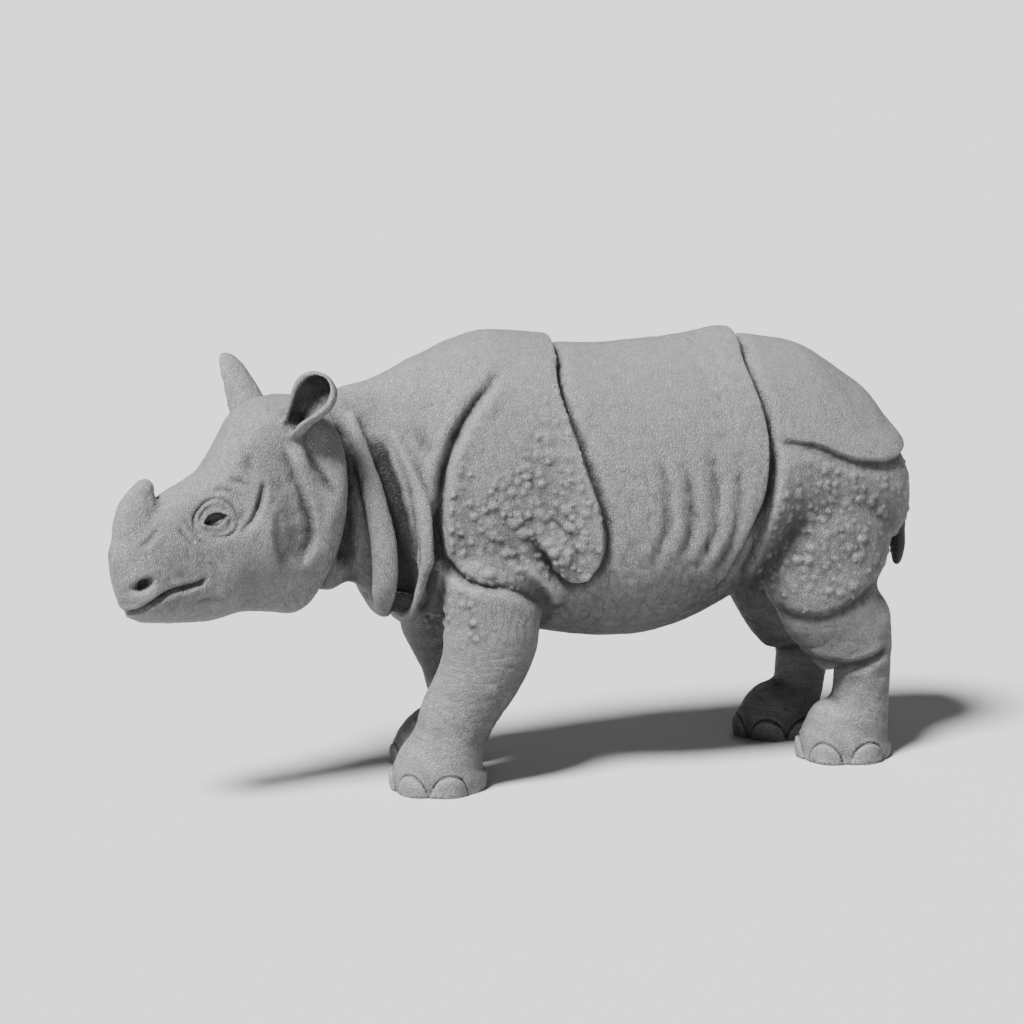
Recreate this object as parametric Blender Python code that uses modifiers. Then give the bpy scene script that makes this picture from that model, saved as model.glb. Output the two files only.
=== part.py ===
"""Greater one-horned rhinoceros figurine, walking, cast in one piece.

The animal looks along -X, stands on z = 0 and is level with the world's axes. Its form is given as
thousandths of its length, and the finished mesh is brought to LENGTH at the end.
"""
import bpy
import numpy as np

LENGTH = 0.175                      # from the lip to the back of the thighs, metres
GROUND = -8.0                       # height of the soles in the tables below
VOXEL = 2.2                         # cell of the skin that joins the parts
FIRST_SMOOTHING = 10                # passes over the joined skin before it is carved
ROOT_SMOOTHING = 60                 # more passes where the legs grow out of the trunk
LAST_SMOOTHING = 2                  # passes over the carved skin
TRIANGLES = 9400                    # faces of the finished solid
GREY = (0.235, 0.235, 0.24, 1.0)
ROUGHNESS = 0.62

HEAD_TURN = np.radians(15.0)        # the head is turned towards -Y
HEAD_PIVOT = np.array([-235.0, -8.0])
FORWARD = np.array([-np.cos(HEAD_TURN), -np.sin(HEAD_TURN)])
FARWARD = np.array([-np.sin(HEAD_TURN), np.cos(HEAD_TURN)])

# Upright sections of the trunk: x, top, bottom, half width, height of the widest place as a share.
TRUNK = (
    (-150, 480, 200, 62, 0.40), (-120, 502, 192, 78, 0.44), (-80, 520, 182, 92, 0.45),
    (-30, 528, 172, 99, 0.45), (20, 514, 164, 104, 0.44), (60, 508, 157, 111, 0.43),
    (100, 506, 152, 117, 0.42), (150, 508, 154, 119, 0.42), (200, 511, 166, 116, 0.42),
    (250, 511, 188, 109, 0.43), (300, 505, 214, 102, 0.45), (350, 493, 232, 99, 0.46),
    (400, 460, 236, 95, 0.47), (440, 427, 240, 86, 0.48), (464, 388, 246, 73, 0.49),
    (477, 358, 262, 54, 0.50), (485, 330, 284, 26, 0.50))
# The neck's sections, with the distance of their middle from the plane y = 0 added.
NECK = (
    (-262, 455, 236, 31, 0.50, -16), (-235, 466, 229, 33, 0.50, -10), (-210, 472, 238, 35, 0.48, -6),
    (-185, 477, 217, 43, 0.43, -4), (-160, 487, 202, 58, 0.40, -2), (-130, 500, 204, 70, 0.45, 0),
    (-100, 508, 198, 80, 0.45, 0))
# The head's sections across its own forward axis: forward, top, bottom, then four pairs of
# height as a share and half width, from the jaw up to the brow.
HEAD = (
    (10, 452, 266, 0.15, 44, 0.45, 65, 0.75, 59, 0.93, 32),
    (20, 458, 241, 0.15, 47, 0.45, 68, 0.75, 62, 0.93, 36),
    (32, 462, 218, 0.15, 44, 0.45, 66, 0.75, 60, 0.93, 41),
    (46, 466, 209, 0.14, 39, 0.43, 58, 0.75, 54, 0.93, 42),
    (80, 468, 213, 0.12, 32, 0.40, 56, 0.75, 51, 0.93, 40),
    (105, 464, 216, 0.12, 30, 0.40, 54, 0.72, 46, 0.93, 35),
    (125, 450, 217, 0.12, 30, 0.42, 50, 0.72, 43, 0.92, 30),
    (143, 421, 214, 0.12, 30, 0.45, 46, 0.72, 40, 0.92, 28),
    (160, 397, 212, 0.12, 28, 0.45, 42, 0.70, 40, 0.92, 27),
    (180, 385, 213, 0.12, 26, 0.42, 37, 0.70, 36, 0.92, 24),
    (205, 374, 215, 0.12, 26, 0.40, 34, 0.70, 33, 0.92, 21),
    (230, 360, 219, 0.12, 25, 0.38, 33, 0.70, 31, 0.92, 20),
    (252, 347, 224, 0.13, 24, 0.38, 32, 0.70, 27, 0.92, 18),
    (267, 337, 237, 0.15, 19, 0.40, 26, 0.70, 22, 0.90, 15),
    (277, 326, 264, 0.18, 12, 0.45, 17, 0.70, 15, 0.88, 10),
    (283, 314, 295, 0.20, 5, 0.50, 8, 0.70, 7, 0.85, 5))
# Legs from the body down: x, y, z, half length along the body, half width across it.
NEAR_FORELEG = (
    (-50, -62, 260, 60, 36), (-52, -64, 219, 60, 40), (-52, -64, 195, 58, 41), (-55, -64, 171, 57, 41),
    (-60, -62, 147, 54, 41), (-69, -60, 124, 50, 41), (-82, -57, 100, 47, 40), (-95, -55, 76, 45, 40),
    (-102, -54, 55, 43, 40), (-107, -54, 40, 46, 43), (-113, -54, 22, 54, 46), (-114, -54, 10, 56, 47),
    (-114, -54, -16, 54, 45))
FAR_FORELEG = (
    (-60, 62, 250, 58, 36), (-72, 64, 200, 56, 40), (-80, 64, 174, 51, 40), (-70, 63, 144, 47, 39),
    (-60, 62, 119, 45, 38), (-54, 61, 87, 43, 38), (-46, 61, 60, 36, 37), (-54, 61, 38, 38, 40),
    (-75, 61, 22, 48, 44), (-83, 61, 10, 55, 46), (-83, 61, -16, 53, 44))
NEAR_HIND_LEG = (
    (382, -52, 330, 66, 38), (373, -56, 288, 78, 42), (367, -58, 250, 82, 43), (365, -61, 215, 74, 44),
    (372, -62, 185, 64, 43), (386, -61, 163, 60, 41), (398, -60, 146, 59, 41), (405, -60, 134, 54, 40),
    (413, -60, 122, 43, 37), (416, -60, 110, 36, 35), (416, -60, 86, 35, 35), (415, -60, 66, 35, 36),
    (411, -60, 48, 40, 40), (403, -60, 32, 52, 44), (398, -60, 18, 56, 47), (397, -60, 8, 57, 48),
    (397, -60, -16, 55, 46))
FAR_HIND_LEG = (
    (360, 52, 330, 64, 38), (350, 56, 288, 76, 42), (342, 58, 250, 78, 42), (343, 61, 215, 71, 44),
    (353, 62, 180, 60, 43),
    (364, 61, 155, 56, 41), (377, 60, 132, 49, 40), (386, 61, 114, 37, 37), (386, 62, 98, 33, 35),
    (384, 62, 70, 32, 34), (381, 62, 50, 31, 36), (372, 63, 34, 37, 40), (361, 64, 20, 48, 43),
    (357, 64, 8, 53, 44), (357, 64, -16, 51, 42))
TAIL = (
    (466, 0, 366, 9, 10), (482, 0, 338, 9, 9), (488, 0, 308, 8, 9), (487, 0, 280, 8, 9),
    (485, 0, 255, 9, 10), (485, 0, 232, 9, 11), (484, 0, 215, 6, 7))
# Horn and ears in the head's own frame: forward, sideways, height.
HORN = (
    (250, 0, 312, 28, 23), (249, 0, 336, 28, 20), (246, 0, 355, 24, 16), (241, 0, 370, 17, 12),
    (237, 0, 378, 12, 10))
EAR_LEAN = np.radians(34.0)         # outward from upright
EAR_WALL = 7.0
# Each ear: side of the head, root, length, forward step along it, forward and outward share of the way
# it opens, then its curl along it: share of the length, radius, half angle of the wall.
NEAR_EAR = (
    -1, (74, 36, 427), 89.0, -0.28, (0.90, 0.42),
    ((0.0, 13, 155), (0.38, 19, 138), (0.62, 25, 120), (0.82, 25, 104), (0.94, 18, 92), (1.0, 8, 75)))
FAR_EAR = (
    1, (73, 40, 425), 96.0, 0.20, (0.70, 0.70),
    ((0.0, 25, 150), (0.35, 24, 130), (0.60, 22, 112), (0.80, 19, 100), (0.93, 14, 90), (1.0, 8, 75)))
# Neck folds, from the nape round the near side to the throat: x, y, z, half length, half height.
NECK_REACH = 50.0                   # the neck lies this near its middle, and the ruff further out
FOLD_A = (
    (-214, -31, 438, 8, 7), (-206, -42, 404, 11, 10), (-197, -51, 369, 14, 13), (-189, -56, 334, 16, 15),
    (-182, -58, 299, 17, 17), (-178, -56, 264, 17, 18), (-176, -47, 232, 16, 18), (-172, -25, 211, 15, 14))
FOLD_B = (
    (-168, -44, 418, 5, 3), (-154, -56, 385, 9, 6), (-143, -66, 350, 12, 8), (-137, -73, 312, 13, 10),
    (-136, -72, 276, 13, 12), (-139, -60, 242, 13, 14), (-143, -43, 214, 14, 15), (-146, -20, 202, 16, 14))
# Where the joined skin is smoothed more, and less: limits along x and in height.
FORE_ROOT = (-118.0, 50.0)
HIND_ROOT = (235.0, 476.0)
ROOT_HEIGHTS = (150.0, 340.0)
EARS_FROM = (-210.0, 440.0)
FEET_BELOW = 30.0
SOLE_RIM = 1.5                      # the sole's rim is drawn onto the ground from this height
# Toes: middle of the sole, turn of each nail about it, radii of the sole.
FEET = (
    ((-114, -54), (268, 217, 160), (56, 47)), ((-83, 61), (240, 180, 120), (55, 46)),
    ((398, -60), (280, 224, 165), (58, 48)), ((357, 64), (290, 237, 180), (53, 44)))
NAIL = (12.0, 21.0, 23.0)           # half thickness, half width, half height
NAIL_HEIGHT = 5.0
NAIL_DEPTH = 9.0                    # from the sole's rim to the nail's middle

FAR_OFF = 1000.0                    # stands for the distance of points that no line reaches
# Edges of the skin plates in side view, x and height, raised on the left of the way they run.
SHIELD_REAR = (
    (9, 263), (18, 249), (31, 240), (47, 241), (61, 254), (69, 274), (70, 295), (66, 322), (58, 351),
    (49, 380), (41, 409), (33, 437), (28, 459), (28, 480), (33, 498), (38, 530))
PLATE_REAR = (
    (206, 206), (221, 232), (233, 255), (246, 279), (258, 303), (269, 326), (276, 355), (278, 384),
    (277, 413), (271, 442), (265, 464), (261, 480), (263, 498), (268, 530))
RUMP_LOW = (
    (284, 397), (300, 393), (317, 390), (337, 386), (357, 377), (377, 368), (405, 361), (436, 359),
    (460, 365), (500, 378))
THIGH_FRONT = (
    (290, 398), (288, 360), (281, 325), (273, 295), (266, 270), (258, 244), (254, 222))
THIGH_LOW = (
    (254, 224), (272, 203), (298, 187), (323, 177), (345, 177), (369, 185), (395, 199), (415, 212),
    (450, 222))
# Furrows of the skin in side view.
NECK_CHANNEL = (
    (-188, 425), (-180, 391), (-171, 359), (-163, 327), (-157, 295), (-156, 263), (-158, 230), (-160, 206))
BEHIND_RUFF = ((-236, 439), (-229, 388), (-223, 336), (-221, 289), (-223, 252))
SHOULDER_DENT = ((-147, 440), (-139, 416), (-131, 390))
THROAT_GAP = ((-123, 288), (-124, 264), (-127, 244), (-132, 222), (-137, 198))
SHIELD_FRONT = (
    (-30, 497), (-47, 483), (-64, 466), (-82, 446), (-96, 425), (-109, 397), (-118, 366), (-121, 333),
    (-121, 297), (-118, 277), (-105, 257), (-88, 246), (-72, 242), (-42, 238), (-19, 227), (2, 208))
LOBE_NOTCH = ((-7, 288), (1, 275), (9, 262), (19, 248), (30, 240))
AXIL_RIDGE = ((-34, 270), (-18, 258), (-2, 243), (14, 227), (26, 208))
RIBS = (
    ((125, 405), (135, 385), (142, 359), (145, 330), (144, 300), (136, 277), (123, 246)),
    ((165, 386), (171, 363), (175, 334), (176, 304), (170, 280), (155, 257)),
    ((190, 407), (200, 384), (206, 355), (208, 325), (205, 296), (195, 272), (176, 242)),
    ((233, 382), (236, 353), (234, 323), (229, 293), (216, 263), (198, 233)))
KNEE_FOLD = ((333, 125), (348, 117), (368, 113), (387, 111), (405, 114), (422, 121), (438, 131))
# Folds of the head in its own side view, forward and height.
RUFF_EDGE = (
    (68, 266), (60, 282), (54, 297), (52, 312), (54, 329), (59, 346), (65, 363), (71, 380), (78, 400),
    (85, 422))
RUFF_CREASE = ((62, 424), (55, 406), (48, 391), (41, 378), (33, 364), (27, 350))
RUFF_HOLLOW = ((100, 402), (90, 372), (81, 344), (75, 318), (74, 296), (79, 272))
JAW_EDGE = ((96, 352), (99, 338), (99, 322), (96, 304), (89, 285), (80, 266))
EYE_POUCH = ((110, 383), (114, 364), (121, 347), (131, 332), (144, 321), (158, 315))
MOUTH = ((264, 237), (244, 251), (222, 262), (200, 265), (185, 269), (178, 276))
NAPE, CROWN = 5.0, 470.0            # the head's relief ends behind one and above the other
NOSTRIL = (257, 272)
NOSTRIL_TILT = np.radians(153.0)
NOSTRIL_SIZE = (11.5, 6.5, 12.0)    # half length, half height, depth
EYE = (167, 339)
EYE_SOCKET = (26.0, 20.0, 7.0)      # half length, half height, depth
EYEBALL = (10.0, 7.0, 6.0)          # half length, half height, height over the socket


def lengths(points):
    """Distance along a line of points from its first one."""
    return np.concatenate([[0.0], np.cumsum(np.linalg.norm(np.diff(points, axis=0), axis=1))])


def spline(knots, values, at):
    """Cubic curve through the values at the knots, with each slope weighed from its two neighbours."""
    knots, at = np.asarray(knots, float), np.asarray(at, float)
    values = np.asarray(values, float)
    gap = np.diff(knots)[:, None]
    slope = np.diff(values, axis=0) / gap
    inner = (slope[:-1] * gap[1:] + slope[1:] * gap[:-1]) / (gap[:-1] + gap[1:])
    tangent = np.vstack([slope[:1], inner, slope[-1:]])
    cell = np.clip(np.searchsorted(knots, at, side="right") - 1, 0, len(knots) - 2)
    width = gap[cell]
    t = (at - knots[cell])[:, None] / width
    start = (2 * t**3 - 3 * t**2 + 1) * values[cell] + (t**3 - 2 * t**2 + t) * width * tangent[cell]
    end = (3 * t**2 - 2 * t**3) * values[cell + 1] + (t**3 - t**2) * width * tangent[cell + 1]
    return start + end


def ease(x):
    """Smooth climb from 0 to 1 while x goes from 0 to 1."""
    x = np.clip(x, 0.0, 1.0)
    return x * x * (3.0 - 2.0 * x)


def power(wave, exponent):
    """A sine or cosine bent so that the ellipse it draws grows squarer as the exponent rises."""
    return np.sign(wave) * np.abs(wave) ** (2.0 / exponent)


def loft(rings):
    """Vertices and faces of a closed skin over rings of points, with a fan on both ends."""
    count, around = rings.shape[:2]
    points = np.vstack([rings.reshape(-1, 3), rings[0].mean(0), rings[-1].mean(0)])
    i, j = np.meshgrid(np.arange(count - 1), np.arange(around), indexing="ij")
    k = (j + 1) % around
    quads = np.stack([i * around + j, i * around + k, (i + 1) * around + k, (i + 1) * around + j], -1)
    j = np.arange(around)
    k = (j + 1) % around
    first, last = count * around, (count - 1) * around
    start = np.stack([np.full(around, first), k, j], -1)
    end = np.stack([np.full(around, first + 1), last + j, last + k], -1)
    return points, quads.reshape(-1, 4).tolist() + start.tolist() + end.tolist()


def trunk_loft(table, count, around=48, upper=2.0, lower=2.2):
    """Skin over upright sections, each two half ellipses that meet at its widest place."""
    table = np.asarray(table, float)
    x = np.linspace(table[0, 0], table[-1, 0], count)
    values = spline(table[:, 0], table[:, 1:], x)
    top, bottom, half, share = values[:, :4].T
    middle = values[:, 4] if values.shape[1] > 4 else np.zeros(count)
    wide = bottom + share * (top - bottom)
    turn = np.linspace(0.0, 2.0 * np.pi, around, endpoint=False)
    rising = np.sin(turn) >= 0
    bend = np.where(rising, upper, lower)
    across = power(np.cos(turn), bend)
    height = np.where(rising, (top - wide)[:, None], (wide - bottom)[:, None])
    z = wide[:, None] + height * power(np.sin(turn), bend)
    y = middle[:, None] - half[:, None] * across
    return loft(np.stack([np.broadcast_to(x[:, None], z.shape), y, z], -1))


def head_to_world(points):
    """Points given as forward, sideways and height in the head's frame, in the world's."""
    points = np.asarray(points, float)
    flat = HEAD_PIVOT + points[..., :1] * FORWARD + points[..., 1:2] * FARWARD
    return np.concatenate([flat, points[..., 2:3]], -1)


def head_loft(table, count=80, around=64):
    """Skin over the head's sections, each a closed curve through its four widths on both sides."""
    table = np.asarray(table, float)
    forward = np.linspace(table[0, 0], table[-1, 0], count)
    rings = []
    for place, row in zip(forward, spline(table[:, 0], table[:, 1:], forward)):
        top, bottom = row[:2]
        height = bottom + (top - bottom) * np.concatenate([[0.0], row[2::2], [1.0]])
        half = np.concatenate([[0.0], row[3::2], [0.0]])
        side = np.concatenate([half, -half[-2:0:-1]])
        level = np.concatenate([height, height[-2:0:-1]])
        ring = np.stack([np.full(len(side), place), side, level], -1)
        closed = np.vstack([ring[-2:], ring, ring[:3]])
        run = lengths(closed)
        rings.append(spline(run, closed, np.linspace(run[2], run[2 + len(ring)], around, endpoint=False)))
    return loft(head_to_world(np.array(rings)))


def limb(table, rings=44, around=32, side=(0.0, 1.0, 0.0)):
    """Skin over a path of elliptic sections with rounded ends; the fifth number lies along side."""
    table = np.asarray(table, float)
    run = lengths(table[:, :3])
    values = spline(run, table, np.linspace(0.0, run[-1], rings))
    middle, long_half, side_half = values[:, :3], values[:, 3], values[:, 4]
    along = np.gradient(middle, axis=0)
    along /= np.linalg.norm(along, axis=1)[:, None]
    out = np.cross(np.asarray(side, float), along)
    out /= np.linalg.norm(out, axis=1)[:, None]
    across = np.cross(along, out)
    turn = np.linspace(0.0, 2.0 * np.pi, around, endpoint=False)

    def section(centre, index, scale):
        """One elliptic ring about a centre."""
        first = out[index] * long_half[index] * scale
        second = across[index] * side_half[index] * scale
        return centre + np.cos(turn)[:, None] * first + np.sin(turn)[:, None] * second

    body = [section(middle[i], i, 1.0) for i in range(rings)]
    dome = np.radians([25.0, 50.0, 70.0, 84.0])
    reach = np.minimum(long_half, side_half)
    start = [section(middle[0] - along[0] * np.sin(a) * reach[0], 0, np.cos(a)) for a in dome[::-1]]
    end = [section(middle[-1] + along[-1] * np.sin(a) * reach[-1], -1, np.cos(a)) for a in dome]
    return loft(np.array(start + body + end))


def ear_loft(ear, rings=26, around=30):
    """A curled leaf: its wall follows an arc that opens forward and outward and narrows to the tip."""
    way, root, reach_up, nod, (ahead, aside), curl = ear
    curl = np.asarray(curl, float)
    share = 1.0 - (1.0 - np.linspace(0.0, 1.0, rings)) ** 1.5
    radius, half_angle = spline(curl[:, 0], curl[:, 1:], share).T
    axis = np.array([nod, way * np.sin(EAR_LEAN), np.cos(EAR_LEAN)])
    axis /= np.linalg.norm(axis)
    outward = np.array([0.0, way * np.cos(EAR_LEAN), -np.sin(EAR_LEAN)])
    opening = ahead * np.array([1.0, 0.0, 0.0]) + aside * outward
    opening -= axis * (opening @ axis)
    opening /= np.linalg.norm(opening)
    side = np.cross(axis, opening)
    sweep = np.linspace(-1.0, 1.0, around)
    skins = []
    for wall, turn in ((0.0, 1), (EAR_WALL, -1)):
        angle = np.radians(half_angle)[:, None] * sweep[::turn] + np.pi
        reach = (radius - np.minimum(wall, radius * 0.7))[:, None]
        across, deep = reach * np.sin(angle), reach * np.cos(angle)
        skins.append(across[..., None] * side + deep[..., None] * opening)
    foot = np.array([root[0], way * root[1], root[2]], float)
    spine = foot + share[:, None] * reach_up * axis
    return loft(head_to_world(np.concatenate(skins, 1) + spine[:, None]))


def ball(centre, radii, turn=0.0, rings=14, around=20):
    """An ellipsoid turned about the upright axis."""
    polar = np.linspace(0.06, np.pi - 0.06, rings)
    round_ = np.linspace(0.0, 2.0 * np.pi, around, endpoint=False)
    x = np.sin(polar)[:, None] * np.cos(round_) * radii[0]
    y = np.sin(polar)[:, None] * np.sin(round_) * radii[1]
    z = np.broadcast_to(np.cos(polar)[:, None] * radii[2], x.shape)
    c, s = np.cos(turn), np.sin(turn)
    return loft(np.stack([c * x - s * y, s * x + c * y, z], -1) + np.asarray(centre, float))


def neck_fold(table):
    """A roll of skin that hangs round the throat from one side of the nape to the other."""
    near, neck = np.asarray(table, float), np.asarray(NECK, float)
    far = near[::-1].copy()
    far[:, 1] = 2.0 * np.interp(far[:, 0], neck[:, 0], neck[:, 5]) - far[:, 1]
    throat = (near[-1] + far[0]) / 2.0 - np.array([0.0, 0.0, 2.0, 0.0, 0.0])
    return limb(np.vstack([near, throat, far]), rings=90, around=24, side=(1.0, 0.0, 0.0))


def toe_nails():
    """A flattened ball for each nail, set into the rim of its foot."""
    parts = []
    for middle, turns, (long_half, side_half) in FEET:
        for angle in np.radians(turns):
            rim = np.array([np.cos(angle), np.sin(angle)]) * (np.array([long_half, side_half]) - NAIL_DEPTH)
            centre = (*(np.array(middle) + rim), NAIL_HEIGHT)
            parts.append(ball(centre, NAIL, angle))
    return parts


def join_skin(parts, voxel):
    """One closed skin round all the parts, by a voxel remesh."""
    points, faces, base = [], [], 0
    for part_points, part_faces in parts:
        points.append(part_points)
        faces += [[index + base for index in face] for face in part_faces]
        base += len(part_points)
    mesh = bpy.data.meshes.new("parts")
    mesh.from_pydata(np.vstack(points).tolist(), [], faces)
    body = bpy.data.objects.new("parts", mesh)
    bpy.context.scene.collection.objects.link(body)
    skin = body.modifiers.new("skin", "REMESH")
    skin.mode = "VOXEL"
    skin.voxel_size = voxel
    skin.adaptivity = 0.0
    graph = bpy.context.evaluated_depsgraph_get()
    joined = bpy.data.meshes.new_from_object(body.evaluated_get(graph))
    bpy.data.objects.remove(body)
    return joined


def coordinates(mesh):
    """The mesh's vertices as an array."""
    flat = np.empty(len(mesh.vertices) * 3, np.float32)
    mesh.vertices.foreach_get("co", flat)
    return flat.reshape(-1, 3).astype(float)


def normals(mesh, points):
    """The normals of the mesh once its vertices are at the points."""
    mesh.vertices.foreach_set("co", points.astype(np.float32).ravel())
    mesh.update()
    flat = np.empty(len(mesh.vertices) * 3, np.float32)
    mesh.vertex_normals.foreach_get("vector", flat)
    return flat.reshape(-1, 3).astype(float)


def smoothed(mesh, points, passes, weight=1.0):
    """Points moved half way to the mean of their neighbours, pass after pass."""
    ends = np.empty(len(mesh.edges) * 2, np.int32)
    mesh.edges.foreach_get("vertices", ends)
    a, b = ends.reshape(-1, 2).T
    count = len(points)
    degree = np.bincount(a, minlength=count) + np.bincount(b, minlength=count)
    for _ in range(passes):
        total = [np.bincount(a, points[b, k], count) + np.bincount(b, points[a, k], count) for k in range(3)]
        mean = np.stack(total, -1) / degree[:, None]
        points = points + (mean - points) * (0.5 * np.broadcast_to(weight, count))[:, None]
    return points


def line_field(points, knots, reach):
    """Signed distance to a smooth line through the knots, positive on its left, and the share run."""
    knots = np.asarray(knots, float)
    run = lengths(knots)
    line = spline(run, knots, np.linspace(0.0, run[-1], 6 * len(knots)))
    near = np.all((points > line.min(0) - reach) & (points < line.max(0) + reach), axis=1)
    p = points[near]
    best = np.full(len(p), np.inf)
    side = np.ones(len(p))
    share = np.zeros(len(p))
    for i in range(len(line) - 1):
        start, step = line[i], line[i + 1] - line[i]
        offset = p - start
        t = np.clip(offset @ step / (step @ step), 0.0, 1.0)
        gap = offset - t[:, None] * step
        square = (gap ** 2).sum(1)
        closer = square < best
        best = np.where(closer, square, best)
        cross = step[0] * offset[:, 1] - step[1] * offset[:, 0]
        side = np.where(closer, np.where(cross >= 0, 1.0, -1.0), side)
        share = np.where(closer, (i + t) / (len(line) - 1), share)
    distance = np.full(len(points), FAR_OFF)
    full_share = np.zeros(len(points))
    distance[near] = side * np.sqrt(best)
    full_share[near] = share
    return distance, full_share


def ends_faded(share, first=0.12, last=0.12):
    """Strength of a line that dies away over its first and last stretch."""
    strength = np.ones(len(share))
    if first:
        strength = strength * ease(share / first)
    if last:
        strength = strength * ease((1.0 - share) / last)
    return strength


def plate_edge(points, knots, rise, reach, gutter, lip=8.0, fade=(0.1, 0.1), lead=0.0):
    """A skin plate that thickens towards its edge, drops there, and leaves a gutter outside.

    With a lead the edge runs straight on before its start and dies away over that length.
    """
    distance, share = line_field(points, knots, reach + lip)
    strength = ends_faded(share, *fade)
    if lead:
        step = np.subtract(knots[1], knots[0]) / np.linalg.norm(np.subtract(knots[1], knots[0]))
        offset = points - np.array(knots[0])
        before = (share == 0.0) & (np.abs(distance) < FAR_OFF)
        distance = np.where(before, step[0] * offset[:, 1] - step[1] * offset[:, 0], distance)
        strength = np.where(before, ease(1.0 + offset @ step / lead), strength)
    height = np.interp(share, np.linspace(0.0, 1.0, len(rise)), rise)
    back = 1.0 - ease((distance - lip) / reach)
    plate = height * ease((distance + 2.0) / lip) * back * (distance > -2.0)
    depth = np.interp(share, np.linspace(0.0, 1.0, len(gutter)), gutter)
    gap = depth * np.exp(-((distance + 3.0) / np.where(distance > -3.0, 4.0, 9.0)) ** 2)
    return (plate - gap) * strength


def groove(points, knots, depth, width, shoulder=0.0, fade=(0.12, 0.12), square=2):
    """A furrow along a line, with a low swelling on both sides; its floor is flatter as square grows."""
    distance, share = line_field(points, knots, 5.0 * width)
    depth = np.interp(share, np.linspace(0.0, 1.0, len(depth)), depth)
    cut = np.exp(-np.abs(distance / width) ** square)
    swell = shoulder * np.exp(-((np.abs(distance) - 2.4 * width) / (1.3 * width)) ** 2)
    return depth * (swell - cut) * ends_faded(share, *fade)


def body_relief(points, normal):
    """Heights of the plates and folds of the trunk and legs, the same on both sides."""
    side = points[:, [0, 2]]
    outward = ease((normal[:, 1] * np.sign(points[:, 1]) + 0.35) / 0.3)
    height = plate_edge(
        side, SHIELD_REAR, (11, 11, 11, 11, 10, 9, 9, 8), 60.0, (4, 4, 3), 7.0, (0.0, 0.0), 50.0)
    height += plate_edge(
        side, PLATE_REAR, (5, 7, 8, 8, 8, 8, 8, 7), 60.0, (3, 8, 10, 9, 6, 4, 3), 8.0, (0.1, 0.0))
    height += plate_edge(side, RUMP_LOW, (1, 2, 4, 6, 7, 7), 40.0, (2.5,), 6.0, (0.1, 0.0))
    height += plate_edge(side, THIGH_FRONT, (3, 4, 5, 5), 40.0, (3,), 8.0, (0.2, 0.1))
    height += plate_edge(side, THIGH_LOW, (3, 4, 5, 5, 4, 2), 40.0, (2,), 14.0, (0.15, 0.25))
    height += groove(side, SHIELD_FRONT, (3, 8, 12, 14, 14, 9, 4, 4), 5.5, 0.15, (0.12, 0.05))
    height += groove(side, LOBE_NOTCH, (3, 4, 3), 5.0, 0.0, (0.5, 0.1))
    height += groove(side, AXIL_RIDGE, (-5, -9, -8), 8.5, 0.3, (0.3, 0.2))
    height += groove(side, THROAT_GAP, (3, 6, 8, 8, 6), 6.0, 0.0, (0.3, 0.15))
    height += groove(side, SHOULDER_DENT, (3,), 9.0, 0.0, (0.5, 0.5))
    for rib in RIBS:
        height += groove(side, rib, (2.8,), 6.5, 0.35, (0.35, 0.25))
    height += groove(side, KNEE_FOLD, (4.0,), 5.0, 0.4)
    on_neck = ease((NECK_REACH - np.abs(points[:, 1] - HEAD_PIVOT[1])) / 10.0)
    height += groove(side, BEHIND_RUFF, (5, 9, 11, 11, 9), 11.0, 0.0, (0.12, 0.12), 3) * on_neck
    height += groove(side, NECK_CHANNEL, (5, 9, 12, 14, 14, 13, 11), 8.5, 0.0, (0.2, 0.0), 3)
    return height * outward


def head_relief(points, normal):
    """Heights of the folds of the head, the same on both sides."""
    flat = points[:, :2] - HEAD_PIVOT
    forward, sideways = flat @ FORWARD, flat @ FARWARD
    side = np.stack([forward, points[:, 2]], -1)
    facing = (normal[:, :2] @ FARWARD) * np.sign(sideways)
    height = plate_edge(side, RUFF_EDGE, (4, 7, 9, 8, 6), 32.0, (3, 5, 5, 4, 3), 6.0, (0.2, 0.15))
    height += groove(side, RUFF_CREASE, (5.0,), 5.0, 0.2, (0.3, 0.3))
    height += groove(side, RUFF_HOLLOW, (2, 5, 7, 6, 4), 14.0, 0.0, (0.25, 0.2))
    height += plate_edge(side, JAW_EDGE, (3, 6, 7, 4), 36.0, (1,), 12.0, (0.3, 0.35))
    height += groove(side, EYE_POUCH, (5, 5, 3, 2), 3.2, 0.2, (0.2, 0.4))
    height += groove(side, MOUTH, (6, 7, 6, 5), 3.0, 0.22, (0.0, 0.12))
    from_eye = side - np.array(EYE)
    in_socket = (from_eye[:, 0] / EYE_SOCKET[0]) ** 2 + (from_eye[:, 1] / EYE_SOCKET[1]) ** 2
    on_ball = (from_eye[:, 0] / EYEBALL[0]) ** 2 + (from_eye[:, 1] / EYEBALL[1]) ** 2
    height += EYEBALL[2] * np.sqrt(np.clip(1.0 - on_ball, 0.0, 1.0))
    height += nostril(side) - EYE_SOCKET[2] * np.exp(-in_socket * 2.0)
    return height * ease((facing + 0.1) / 0.4) * (forward > NAPE) * (points[:, 2] < CROWN)


def nostril(side):
    """A pit under a tilted oval with a low wing round it."""
    from_hole = side - np.array(NOSTRIL)
    along = from_hole @ np.array([np.cos(NOSTRIL_TILT), np.sin(NOSTRIL_TILT)])
    across = from_hole @ np.array([-np.sin(NOSTRIL_TILT), np.cos(NOSTRIL_TILT)])
    half_length, half_height, depth = NOSTRIL_SIZE
    reach = np.hypot(along / half_length, across / half_height)
    return 1.0 * np.exp(-((reach - 2.1) / 0.8) ** 2) - depth * np.exp(-reach ** 4)


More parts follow.
